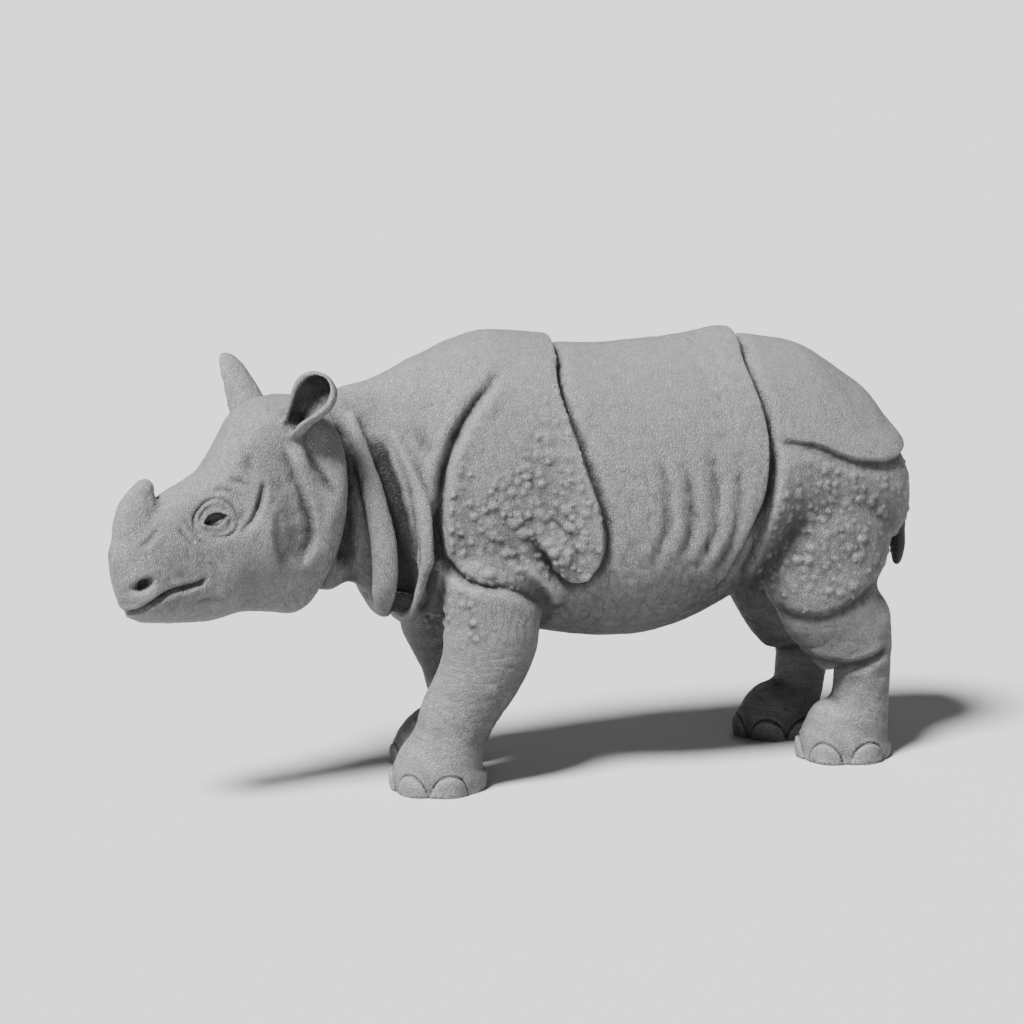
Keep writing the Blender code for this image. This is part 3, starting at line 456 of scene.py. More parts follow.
def normals(mesh, points):
    """The normals of the mesh once its vertices are at the points."""
    mesh.vertices.foreach_set("co", points.astype(np.float32).ravel())
    mesh.update()
    flat = np.empty(len(mesh.vertices) * 3, np.float32)
    mesh.vertex_normals.foreach_get("vector", flat)
    return flat.reshape(-1, 3).astype(float)


def smoothed(mesh, points, passes, weight=1.0):
    """Points moved half way to the mean of their neighbours, pass after pass."""
    ends = np.empty(len(mesh.edges) * 2, np.int32)
    mesh.edges.foreach_get("vertices", ends)
    a, b = ends.reshape(-1, 2).T
    count = len(points)
    degree = np.bincount(a, minlength=count) + np.bincount(b, minlength=count)
    for _ in range(passes):
        total = [np.bincount(a, points[b, k], count) + np.bincount(b, points[a, k], count) for k in range(3)]
        mean = np.stack(total, -1) / degree[:, None]
        points = points + (mean - points) * (0.5 * np.broadcast_to(weight, count))[:, None]
    return points


def line_field(points, knots, reach):
    """Signed distance to a smooth line through the knots, positive on its left, and the share run."""
    knots = np.asarray(knots, float)
    run = lengths(knots)
    line = spline(run, knots, np.linspace(0.0, run[-1], 6 * len(knots)))
    near = np.all((points > line.min(0) - reach) & (points < line.max(0) + reach), axis=1)
    p = points[near]
    best = np.full(len(p), np.inf)
    side = np.ones(len(p))
    share = np.zeros(len(p))
    for i in range(len(line) - 1):
        start, step = line[i], line[i + 1] - line[i]
        offset = p - start
        t = np.clip(offset @ step / (step @ step), 0.0, 1.0)
        gap = offset - t[:, None] * step
        square = (gap ** 2).sum(1)
        closer = square < best
        best = np.where(closer, square, best)
        cross = step[0] * offset[:, 1] - step[1] * offset[:, 0]
        side = np.where(closer, np.where(cross >= 0, 1.0, -1.0), side)
        share = np.where(closer, (i + t) / (len(line) - 1), share)
    distance = np.full(len(points), FAR_OFF)
    full_share = np.zeros(len(points))
    distance[near] = side * np.sqrt(best)
    full_share[near] = share
    return distance, full_share


def along_line(share, values):
    """The value at a share of a line that has the values evenly along it."""
    return np.interp(share, np.linspace(0.0, 1.0, len(values)), values)


def ends_faded(share, first=0.12, last=0.12):
    """Strength of a line that dies away over its first and last stretch."""
    strength = np.ones(len(share))
    if first:
        strength = strength * ease(share / first)
    if last:
        strength = strength * ease((1.0 - share) / last)
    return strength


def plate_edge(points, knots, rise, reach, gutter, lip=8.0, fade=(0.1, 0.1), lead=0.0):
    """A skin plate that thickens towards its edge, drops there, and leaves a gutter outside.

    With a lead the edge runs straight on before its start and dies away over that length.
    """
    distance, share = line_field(points, knots, reach + lip)
    strength = ends_faded(share, *fade)
    if lead:
        step = unit(np.subtract(knots[1], knots[0]))
        offset = points - np.array(knots[0])
        before = (share == 0.0) & (np.abs(distance) < FAR_OFF)
        distance = np.where(before, step[0] * offset[:, 1] - step[1] * offset[:, 0], distance)
        strength = np.where(before, ease(1.0 + offset @ step / lead), strength)
    back = 1.0 - ease((distance - lip) / reach)
    plate = along_line(share, rise) * ease((distance + 2.0) / lip) * back * (distance > -2.0)
    gap = along_line(share, gutter) * np.exp(-((distance + 3.0) / np.where(distance > -3.0, 4.0, 9.0)) ** 2)
    return (plate - gap) * strength


def groove(points, knots, depth, width, shoulder=0.0, fade=(0.12, 0.12), square=2):
    """A furrow along a line, with a low swelling on both sides; its floor is flatter as square grows."""
    distance, share = line_field(points, knots, 5.0 * width)
    cut = np.exp(-np.abs(distance / width) ** square)
    swell = shoulder * np.exp(-((np.abs(distance) - 2.4 * width) / (1.3 * width)) ** 2)
    return along_line(share, depth) * (swell - cut) * ends_faded(share, *fade)


def carved(side, plates, folds):
    """Heights of plates and folds together."""
    return sum(plate_edge(side, *plate) for plate in plates) + sum(groove(side, *fold) for fold in folds)


def body_relief(points, normal):
    """Heights of the plates and folds of the trunk and legs, the same on both sides."""
    side = points[:, [0, 2]]
    outward = ease((normal[:, 1] * np.sign(points[:, 1]) + 0.35) / 0.3)
    on_neck = ease((NECK_REACH - np.abs(points[:, 1] - HEAD_PIVOT[1])) / 10.0)
    behind_ruff = groove(side, *BEHIND_RUFF_FOLD) * on_neck
    return (carved(side, BODY_PLATES, BODY_FOLDS) + behind_ruff) * outward


def head_flanks(points, normal):
    """The points in the head's side view, and 1 where its skin faces sideways, falling to 0 elsewhere."""
    side, sideways = in_head(points)
    facing = (normal[:, :2] @ FARWARD) * np.sign(sideways)
    return side, ease((facing + 0.1) / 0.4) * (side[:, 0] > NAPE) * (points[:, 2] < CROWN)


def head_relief(points, normal):
    """Heights of the folds of the head, the same on both sides."""
    side, strength = head_flanks(points, normal)
    from_eye = side - np.array(EYE)
    in_socket = (from_eye[:, 0] / EYE_SOCKET[0]) ** 2 + (from_eye[:, 1] / EYE_SOCKET[1]) ** 2
    height = carved(side, HEAD_PLATES, HEAD_FOLDS) + nostril(side)
    return (height - EYE_SOCKET[2] * np.exp(-in_socket * 2.0)) * strength


def nostril(side):
    """A pit under a tilted oval with a low wing round it."""
    from_hole = side - np.array(NOSTRIL)
    along = from_hole @ np.array([np.cos(NOSTRIL_TILT), np.sin(NOSTRIL_TILT)])
    across = from_hole @ np.array([-np.sin(NOSTRIL_TILT), np.cos(NOSTRIL_TILT)])
    half_length, half_height, depth = NOSTRIL_SIZE
    reach = np.hypot(along / half_length, across / half_height)
    return np.exp(-((reach - 2.1) / 0.8) ** 2) - depth * np.exp(-reach ** 4)


def leg_roots(points):
    """How strongly each point belongs to the swelling where a leg grows out of the trunk."""
    low, high = ROOT_HEIGHTS
    height = ease((points[:, 2] - low) / 50.0) * ease((high - points[:, 2]) / 60.0)
    front, rear = FORE_ROOT
    fore = ease((points[:, 0] - front) / 30.0) * ease((rear - points[:, 0]) / 30.0)
    front, rear = HIND_ROOT
    hind = ease((points[:, 0] - front) / 40.0) * (points[:, 0] < rear)
    return height * np.maximum(fore, hind)


# Where the skin is knobbly, in side view: how high up the shield, and the patch on the foreleg.
KNOB_LIMIT = ((-130, 440), (-105, 425), (-75, 388), (-40, 398), (0, 460), (24, 530), (70, 555))
LEG_PATCH = (-92, 210, 24, 54, 0.10)     # middle x and height, half width, half height, lean
# Large, middle and small knobs: cell of their lattice, height, seed.
LARGE_KNOBS = (17.0, 4.4, 3)
MIDDLE_KNOBS = (11.5, 3.4, 21)
SMALL_KNOBS = (7.5, 1.6, 8)
THIGH_KNOBS = 0.7                   # height of the knobs on the thigh, as a share of the shield's
THIGH_FROM = 150.0                  # the x that parts the shield's knobs from the thigh's
PATCH_HEIGHT = 3.8                  # height of the knobs on the foreleg's patch
LEG_TOP = 190.0                     # below it the wrinkles run round the legs
WRINKLE_DEPTH, DENT_DEPTH = 0.8, 0.55
RING_DEPTH = 0.8                    # depth of the rings as a share of the wrinkles'
# Layers of the wrinkles: cell along x, y and z, depth, seed.
UPRIGHT_FURROWS = (((9.0, 9.0, 30.0), 1.0, 40), ((6.5, 6.5, 14.0), 0.6, 41))
LEG_RINGS = (((34.0, 34.0, 7.5), 1.0, 42), ((15.0, 15.0, 6.0), 0.5, 43))
# Folds that only this finer skin shows, in the head's side view.
EYE_OPENING = (14.0, 6.8)           # half length, half height
EYE_TILT = np.radians(-15.0)
EYE_BALL = (2.0, 3.2)               # height of its dome, depth of the floor under it
EYE_LID = (2.8, 2.4)                # height of the lid's ridge, distance from the opening
EYE_RINGS = ((15.0, 1.3, 1.5), (21.5, 2.8, 1.8))     # radius, depth and width of the creases
NAIL_ARCH = (21.0, 26.0)            # half width and height of a nail over the sole
TEMPLE_DENT = (127, 399, 9, 15, 3.6)     # middle, half length, half height, depth
SNOUT_CREASES = (
    ((232, 341), (240, 328), (252, 318), (262, 314)), ((206, 349), (199, 334), (187, 318), (173, 306)),
    ((213, 336), (206, 324), (196, 312)), ((143, 368), (156, 372), (172, 370)),
    ((126, 372), (136, 380), (150, 383)), ((133, 352), (138, 342), (139, 331)))
CHIN_CREASE = ((150, 242), (175, 246), (200, 244))
# Painted shade inside the ears: how wide they are, and its share.
EAR_REACH, EAR_SHADE = 30.0, 0.75
# Shares of the painted shade: where the skin faces down and low on the body, each with more behind the head or
# at the rear, then in fine and in broad recesses of the skin.
UNDER_SHADE, LOW_SHADE, LOW_FROM = (0.15, 0.45), (0.26, 0.14), (255.0, 110.0)
FINE_SHADE, BROAD_SHADE = 0.42, (0.11, 0.08)
# Textures: cells per metre, how the wrinkles are stretched, height of the grain as a share of theirs.
BLOTCH_SCALE, WORN_SCALE, GRAIN_SCALE = 60.0, 420.0, 3800.0
FLANK_STRETCH, LEG_STRETCH = (1.0, 0.8, 0.32), (0.40, 0.40, 1.0)
GRAIN_SHARE = 0.35
EYE_ROUGHNESS = 0.48
MIX_SOCKETS = {"RGBA": (6, 7, 2), "FLOAT": (2, 3, 0)}     # of a Mix node: first, second, result
# Lamps in lengths of the figure: place, size, power; the key light shines like a wide, soft sun.
KEY_PLACE, KEY_SPREAD = (-7.0, -4.5, 13.0), np.radians(16.0)
SOFT_LIGHTS = (("fill_light", (4.0, -14.0, 9.0), 8.0, 3.0), ("back_light", (5.0, 10.0, 12.0), 6.0, 10.0))
WORLD_LIGHT = 0.12
CAMERA_AIM = (-0.0024, 0.0, 0.3133)     # in lengths of the figure
SENSOR, LENS = 36.0, 133.5          # millimetres


def scattered(cells, seed):
    """A repeatable number from 0 to 1 for each whole-numbered cell, by multiplying and folding its bits."""
    whole = cells.astype(np.int64)
    bits = whole[..., 0] * 73856093 ^ whole[..., 1] * 19349663 ^ whole[..., 2] * 83492791 ^ seed * 40503
    bits = ((bits & 0xFFFFFFFF) ^ ((bits & 0xFFFFFFFF) >> 13)) * 1274126177 & 0xFFFFFFFF
    return ((bits ^ (bits >> 16)) & 0xFFFF) / 65535.0


def knobs(points, size, seed):
    """Height from 0 to 1 of uneven knobs. Each cell of a bent cubic lattice holds a knob of its own width,
    off the cell's middle; a point's height is the largest over the cells round it of a power of
    1 - (distance / radius) squared, times the knob's own height.
    """
    points = shaken(points, 0.10 * size, 0.6 * size, seed + 60)
    cell = np.floor(points / size)
    height = np.zeros(len(points))
    steps = np.array([(i, j, k) for i in (-1, 0, 1) for j in (-1, 0, 1) for k in (-1, 0, 1)])
    for step in steps:
        here = cell + step
        jitter = np.stack([scattered(here, seed + axis) for axis in range(3)], -1)
        radius = size * (0.36 + 0.26 * scattered(here, seed + 5))
        gap = points - (here + 0.15 + 0.7 * jitter) * size
        dome = np.clip(1.0 - (gap ** 2).sum(1) / radius ** 2, 0.0, 1.0)
        height = np.maximum(height, dome ** 1.3 * (0.35 + 0.65 * scattered(here, seed + 9)))
    return height


def uneven(points, size, seed):
    """Smooth noise from -1 to 1: a number for each corner of a cubic lattice, eased across its cells."""
    place = points / size
    cell = np.floor(place)
    share = ease(place - cell)
    total = np.zeros(len(points))
    for corner in np.ndindex(2, 2, 2):
        weight = np.prod(np.where(corner, share, 1.0 - share), axis=1)
        total += weight * scattered(cell + np.array(corner), seed)
    return 2.0 * total - 1.0


def shaken(points, by, size, seed):
    """Points moved along each axis, by smooth noise of its own with that cell size."""
    return points + by * np.stack([uneven(points, size, seed + axis) for axis in range(3)], -1)


def creases(points, sizes, seed):
    """Furrows from 0 to 1 along the lines where noise, stretched by the sizes, changes its sign."""
    noise = uneven(shaken(points, 5.0, 21.0, seed + 31) / np.asarray(sizes, float), 1.0, seed)
    return np.clip(1.0 - np.abs(noise) / 0.30, 0.0, 1.0) ** 1.5


def skin_wrinkles(points):
    """Heights of the wrinkled skin: upright furrows on trunk and head, rings on the legs, and soft dents."""
    on_leg = ease((LEG_TOP - points[:, 2]) / 40.0)
    upright, rings = [
        sum(depth * creases(points, sizes, seed) for sizes, depth, seed in layers)
        for layers in (UPRIGHT_FURROWS, LEG_RINGS)]
    patchy = 0.65 + 0.35 * uneven(points, 60.0, 44)
    dents = uneven(points, 26.0, 45) + 0.6 * uneven(points, 13.0, 46)
    furrows = upright * (1.0 - on_leg) + RING_DEPTH * rings * on_leg
    return DENT_DEPTH * dents - WRINKLE_DEPTH * patchy * furrows


def between(points, line, across):
    """The line's x at each point's height where across is 1, and its height at each point's x otherwise."""
    line = np.asarray(line, float)
    order = np.argsort(line[:, across])
    return np.interp(points[:, across], line[order, across], line[order, 1 - across])


def knobbly(points):
    """How knobbly each point is, from 0 to 1: low on the shield and on the thigh plate, by soft limits on its
    place in side view.
    """
    side = points[:, [0, 2]]
    x, z = side.T
    front = between(side, [p for p in SHIELD_FRONT if p[1] > 250], 1)
    rear = between(side, SHIELD_REAR[2:], 1)
    low = between(side, SHIELD_FRONT[10:] + SHIELD_REAR[:3], 0)
    shield = ease((x - front - 5.0) / 12.0) * ease((rear - x + 2.0) / 8.0) * ease((z - low + 4.0) / 10.0)
    shield = shield * ease((between(side, KNOB_LIMIT, 0) - z) / 45.0)
    thigh = ease((x - between(side, THIGH_FRONT, 1) - 4.0) / 14.0)
    thigh = thigh * ease((z - between(side, THIGH_LOW, 0)) / 9.0)
    thigh = thigh * ease((between(side, RUMP_LOW, 0) - 6.0 - z) / 16.0) * (x > 240)
    return np.maximum(shield * (1.0 - axil(side)), thigh)


def axil(side):
    """1 in the armpit under the shield's rear lobe, where the skin is smooth."""
    x, z = side.T
    under = ease((between(side, AXIL_RIDGE, 0) + 12.0 - z) / 8.0)
    return under * ease((x + 30.0) / 12.0) * ease((40.0 - x) / 8.0) * (z < 268.0)


def leg_patch(side):
    """How far a point lies in the strip of small knobs down the front of the forelegs, from 0 to 1."""
    middle_x, middle_z, half_x, half_z, lean = LEG_PATCH
    across = side[:, 0] - middle_x - lean * (side[:, 1] - middle_z)
    return ease(1.6 - np.hypot(across / half_x, (side[:, 1] - middle_z) / half_z) * 1.2)


def knob_relief(points):
    """Heights of the three sizes of knobs over the knobbly skin, the small ones reaching further, and of
    the few on the forelegs.
    """
    amount = knobbly(points)
    sparse = leg_patch(points[:, [0, 2]])
    height = np.zeros(len(points))
    marked = (amount > 0.01) | (sparse > 0.01)
    here, strength, few = points[marked], amount[marked], sparse[marked]
    large, middle, small = [
        rise * knobs(here, size, seed) for size, rise, seed in (LARGE_KNOBS, MIDDLE_KNOBS, SMALL_KNOBS)]
    on_thigh = here[:, 0] >= THIGH_FROM
    large *= np.maximum(ease((strength - 0.4) / 0.6), few)
    large *= np.where(on_thigh, 1.0, ease((here[:, 0] + 110.0) / 50.0))
    small *= ease(strength / 0.4)
    legs = np.clip(np.maximum(middle, 0.6 * large) / MIDDLE_KNOBS[1] - 0.1, 0.0, 1.0) * PATCH_HEIGHT * few
    spread = np.maximum(large, middle * ease((strength - 0.1) / 0.6)) + 0.6 * small
    spread *= np.where(on_thigh, THIGH_KNOBS, 1.0)
    height[marked] = np.maximum(spread - 0.5 * strength, legs)
    return height


def eye_distance(side):
    """Signed height over an almond, up or down from the parabola of its lid, and how far each point lies
    along it as a share of its half length.
    """
    along, up = (side - np.array(EYE)).T
    turned = along * np.cos(EYE_TILT) + up * np.sin(EYE_TILT)
    level = up * np.cos(EYE_TILT) - along * np.sin(EYE_TILT)
    half_length, half_height = EYE_OPENING
    reach = np.abs(turned) / half_length
    lid = half_height * (1.0 - reach ** 2)
    outside = np.hypot(np.maximum(np.abs(turned) - half_length, 0.0), level)
    return np.where(reach < 1.0, np.abs(level) - lid, outside), reach


def eye_relief(side):
    """A ball between two lids with creases round them: the ball is a low dome inside the almond, each lid a
    ridge along its edge, and each crease a furrow at one distance from it that fades towards the corners.
    """
    gap, reach = eye_distance(side)
    half_height = EYE_OPENING[1]
    ball_here = np.clip(1.0 - (gap + half_height) ** 2 / (2.6 * half_height) ** 2, 0.0, 1.0)
    inside = ease(-gap / 1.5)
    near = ease((2.0 - reach) / 0.8)
    height = inside * (EYE_BALL[0] * np.sqrt(ball_here) - EYE_BALL[1])
    height += (1.0 - inside) * near * EYE_LID[0] * np.exp(-((gap - EYE_LID[1]) / 2.8) ** 2)
    along, up = (side - np.array(EYE)).T
    ring = np.hypot(along / 1.15, up - 1.0)
    turn = np.arctan2(up, along)
    for radius, depth, width in EYE_RINGS:
        wavy = ring - radius * (1.0 + 0.07 * np.sin(3.0 * turn + radius))
        height -= depth * np.exp(-(wavy / width) ** 2) * (0.35 + 0.65 * np.abs(np.cos(turn - 0.4)))
    return height


def foot_relief(points, normal):
    """Toes and nails. Round each foot a toe swells as a bell over the arc from its middle, and its nail is
    the part under an arch, half an ellipse over that arc, raised and with a crease along the arch.
    """
    height = np.zeros(len(points))
    up = points[:, 2] - GROUND
    for middle, turns, radii in FEET:
        flat = points[:, :2] - np.array(middle, float)
        close = (np.hypot(*flat.T) < 80.0) & (up < 60.0) & (normal[:, 2] > -0.6)
        angle = np.arctan2(flat[:, 1] / radii[1], flat[:, 0] / radii[0])
        size = 0.5 * (radii[0] + radii[1])
        for turn in np.radians(turns):
            arc = size * ((angle - turn + np.pi) % (2.0 * np.pi) - np.pi)
            arch = NAIL_ARCH[1] * np.sqrt(np.clip(1.0 - (arc / NAIL_ARCH[0]) ** 2, 0.0, 1.0))
            gap = up - arch
            beside = np.abs(arc) - NAIL_ARCH[0]
            edge = np.where(beside < 0, np.abs(gap), np.hypot(beside, up * 0.4))
            nail = 1.6 * ease(-gap / 2.5) * (beside < 0)
            crease = 2.6 * np.exp(-(edge / 1.8) ** 2) * (up < NAIL_ARCH[1] + 8.0)
            swell = 2.0 * np.exp(-(arc / 20.0) ** 2) * ease((46.0 - up) / 30.0)
            height += close * (nail - crease + swell)
    return height


def head_details(points, normal):
    """Heights of what only the finer skin shows on the head: eye, temple's dent and small creases."""
    side, strength = head_flanks(points, normal)
    middle_x, middle_z, half_x, half_z, depth = TEMPLE_DENT
    dent = ((side[:, 0] - middle_x) / half_x) ** 2 + ((side[:, 1] - middle_z) / half_z) ** 2
    creases_here = [(crease, (1.9,), 3.0, 0.35, (0.35, 0.35)) for crease in SNOUT_CREASES]
    creases_here.append((CHIN_CREASE, (1.2,), 3.0, 0.3, (0.4, 0.4)))
    return (eye_relief(side) - depth * np.exp(-dent) + carved(side, (), creases_here)) * strength


def standing(points):
    """Points no lower than the ground, with the sole's rim drawn onto it."""
    points = points.copy()
    points[:, 2] = np.where(points[:, 2] < GROUND + SOLE_RIM, GROUND, points[:, 2])
    return points


def parts_of_figure():
    """The lofts that the animal is joined from."""
    parts = [trunk_loft(TRUNK, 70), trunk_loft(NECK, 24), head_loft(HEAD)]
    parts += [limb(leg) for leg in (NEAR_FORELEG, FAR_FORELEG, NEAR_HIND_LEG, FAR_HIND_LEG, TAIL)]
    horn = np.asarray(HORN, float)
    horn[:, :3] = head_to_world(horn[:, :3])
    parts += [limb(horn), ear_loft(NEAR_EAR), ear_loft(FAR_EAR), neck_fold(FOLD_A), neck_fold(FOLD_B)]
    return parts + toe_nails()


def near_eye(points):
    """1 on and close round the eyes, where only their own folds show, to 0 further off."""
    return ease((26.0 - np.linalg.norm(in_head(points)[0] - np.array(EYE), axis=1)) / 8.0)


def carved_mesh(knob_height, wrinkle_share):
    """The animal's dense mesh: joined, smoothed, carved with plates and folds and then with finer relief."""
    mesh = join_skin(parts_of_figure(), VOXEL)
    points = coordinates(mesh)
    on_ears = (points[:, 2] > EARS_FROM[1]) & (points[:, 0] < EARS_FROM[0])
    weight = np.where(on_ears | (points[:, 2] < FEET_BELOW), 0.25, 1.0)
    points = smoothed(mesh, points, FIRST_SMOOTHING, weight)
    points = smoothed(mesh, points, ROOT_SMOOTHING, leg_roots(points))
    normal = normals(mesh, points)
    points = points + normal * (body_relief(points, normal) + head_relief(points, normal))[:, None]
    points = smoothed(mesh, points, LAST_SMOOTHING)
    plain = standing(points)
    normal = normals(mesh, points)
    up = ease((points[:, 2] - GROUND - 30.0) / 20.0)
    smooth = np.maximum(ease(knobbly(points)), near_eye(points))
    finer = knob_height * knob_relief(points) + head_details(points, normal) + foot_relief(points, normal)
    finer += wrinkle_share * skin_wrinkles(points) * up * (1.0 - 0.7 * smooth)
    points = standing(points + normal * finer[:, None])
    mesh.vertices.foreach_set("co", points.astype(np.float32).ravel())
    mesh.update()
    return mesh, plain.min(0), plain.max(0)


def thinned(mesh, triangles):
    """The mesh with only so many triangles, fewer where it is flat."""
    body = add_object("dense", mesh)
    thin = body.modifiers.new("thin", "DECIMATE")
    thin.ratio = triangles / (2.0 * len(mesh.polygons))
    graph = bpy.context.evaluated_depsgraph_get()
    result = bpy.data.meshes.new_from_object(body.evaluated_get(graph))
    bpy.data.objects.remove(body)
    return result


def to_frame(points, low, high):
    """Table places in the frame's metres: the plain form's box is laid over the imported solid's box."""
    middle = (low + high) / 2.0
    middle[2] = low[2]
    places = (points - middle) * (LENGTH / (high[0] - low[0]))
    return np.clip(places, CAD_LOW, CAD_HIGH)


def keep_mask(mesh, name, values):
    """Store one number for each vertex under a name that the materials read."""
    layer = mesh.attributes.new(name, "FLOAT", "POINT")
    layer.data.foreach_set("value", np.clip(values, 0.0, 1.0).astype(np.float32))


def inside_ears(points, normal):
    """How much painted shade each point takes inside an ear, where its normal faces the ear's axis; most at
    the foot.
    """
    dark = np.zeros(len(points))
    for way, root, length, nod, _, _ in (NEAR_EAR, FAR_EAR):
        axis = np.array([nod, way * np.sin(EAR_LEAN), np.cos(EAR_LEAN)])
        foot = np.array([root[0], way * root[1], root[2]], float)
        tip = head_to_world(foot + axis * length)
        foot = head_to_world(foot)
        axis = unit(tip - foot)
        along = (points - foot) @ axis
        out = points - foot - along[:, None] * axis
        reach = np.linalg.norm(out, axis=1)
        inward = -(normal * out).sum(1) / np.maximum(reach, 1.0)
        share = along / length
        near = (reach < EAR_REACH) & (share > 0.12) & (share < 1.1)
        dark = np.maximum(dark, near * ease(inward / 0.5) * EAR_SHADE * ease((0.85 - share) / 0.6))
    return dark


def masks(mesh, points):
    """Masks for the finish. The first, of painted shade, grows with how far a point lies under the mean of the
    skin round it, how far it faces down and how low it is, more towards the rear, and inside the ears; raised,
    of painted highlight, grows with how far it stands over that mean; limb is 1 on the legs, eye on the
    eyeballs and tail on the lower tail, which takes the painted shade's colour.
    """
    normal = normals(mesh, points)
    depth = ((smoothed(mesh, points, 5) - points) * normal).sum(1)
    broad = np.clip(((smoothed(mesh, points, 40) - points) * normal).sum(1), 0.0, None)
    body = ease((points[:, 0] + 290.0) / 60.0)
    rear = ease((points[:, 0] - 100.0) / 200.0)
    # Painted shade where the skin faces down, stronger behind the head.
    under = (UNDER_SHADE[0] + UNDER_SHADE[1] * body) * ease(0.3 - normal[:, 2])
    # Painted shade low on the body, reaching higher and stronger towards the rear, as on the shaded hind
    # parts.
    low = ease((LOW_FROM[0] + LOW_FROM[1] * rear - points[:, 2]) / 140.0) * body
    low *= LOW_SHADE[0] + LOW_SHADE[1] * rear
    # Painted shade in fine and in broad recesses of the skin, where shade falls.
    dark = under + low + FINE_SHADE * depth + broad * (BROAD_SHADE[0] + BROAD_SHADE[1] * body)
    keep_mask(mesh, "painted_shade_mask", np.maximum(dark, inside_ears(points, normal)))
    # Painted highlight: lighter where the skin stands over the skin round it.
    keep_mask(mesh, "raised", -depth / 1.6)
    keep_mask(mesh, "limb", ease((200.0 - points[:, 2]) / 60.0))
    side, sideways = in_head(points)
    gap, _ = eye_distance(side)
    keep_mask(mesh, "eye", ease((1.2 - gap) / 1.2) * (np.abs(sideways) > 25.0))
    # The lower tail, which hangs in shade, is painted in the shade colour.
    keep_mask(mesh, "tail", ease((points[:, 0] - 470.0) / 6.0) * ease((300.0 - points[:, 2]) / 60.0))


def socket(group, name, kind, way, value=None):
    """Add a named input or output to a shader group."""
    item = group.interface.new_socket(name=name, in_out=way, socket_type=kind)
    if value is not None:
        item.default_value = value
    return item


def add(tree, kind, **values):
    """A shader node with its inputs and settings given by name."""
    node = tree.nodes.new(kind)
    for name, value in values.items():
        if hasattr(node, name):
            setattr(node, name, value)
        else:
            node.inputs[name.replace("_", " ")].default_value = value
    return node


def wrinkle_group():
    """Fine wrinkles: cracks between small warped cells, crossed by stretched lines that run up the body."""
    group = bpy.data.node_groups.new("fine_wrinkles", "ShaderNodeTree")
    socket(group, "Vector", "NodeSocketVector", "INPUT")
    socket(group, "Stretch", "NodeSocketVector", "INPUT", (1.0, 1.0, 1.0))
    socket(group, "Cell Scale", "NodeSocketFloat", "INPUT", 3000.0)
    socket(group, "Line Scale", "NodeSocketFloat", "INPUT", 2200.0)
    socket(group, "Height", "NodeSocketFloat", "OUTPUT")
    start, end = add(group, "NodeGroupInput"), add(group, "NodeGroupOutput")
    link = group.links.new
    warp = textured(group, "ShaderNodeTexNoise", start.outputs["Vector"], Scale=500.0, Detail=2.0)
    shift = add(group, "ShaderNodeVectorMath", operation="MULTIPLY_ADD")
    shift.inputs[1].default_value = (0.0012, 0.0012, 0.0012)
    link(warp.outputs["Color"], shift.inputs[0])
    link(start.outputs["Vector"], shift.inputs[2])
    stretched = add(group, "ShaderNodeVectorMath", operation="MULTIPLY")
    link(shift.outputs["Vector"], stretched.inputs[0])
    link(start.outputs["Stretch"], stretched.inputs[1])
    place = stretched.outputs["Vector"]
    cells = textured(group, "ShaderNodeTexVoronoi", place, feature="DISTANCE_TO_EDGE")
    link(start.outputs["Cell Scale"], cells.inputs["Scale"])
    cracks = add(group, "ShaderNodeMapRange", interpolation_type="SMOOTHSTEP", From_Max=0.22)
    link(cells.outputs["Distance"], cracks.inputs["Value"])
    lines = textured(group, "ShaderNodeTexNoise", place, Detail=3.0, Roughness=0.6)
    link(start.outputs["Line Scale"], lines.inputs["Scale"])
    ridged = add(group, "ShaderNodeMath", operation="MULTIPLY_ADD")
    ridged.inputs[1].default_value = 1.1
    link(lines.outputs["Fac"], ridged.inputs[0])
    link(cracks.outputs["Result"], ridged.inputs[2])
    link(ridged.outputs["Value"], end.inputs["Height"])
    return group


def mixed(tree, kind, factor, *values):
    """Two colours (RGBA) or numbers (FLOAT), each a value or a socket, mixed by a factor socket."""
    mix = add(tree, "ShaderNodeMix", data_type=kind)
    tree.links.new(factor, mix.inputs["Factor"])
    for value, place in zip(values, MIX_SOCKETS[kind]):
        if isinstance(value, bpy.types.NodeSocket):
            tree.links.new(value, mix.inputs[place])
        else:
            mix.inputs[place].default_value = (*value[:3], 1.0) if kind == "RGBA" else value
    return mix.outputs[MIX_SOCKETS[kind][2]]


def textured(tree, kind, place, **values):
    """A texture node of that kind and values which reads the place."""
    node = add(tree, kind, **values)
    tree.links.new(place, node.inputs["Vector"])
    return node


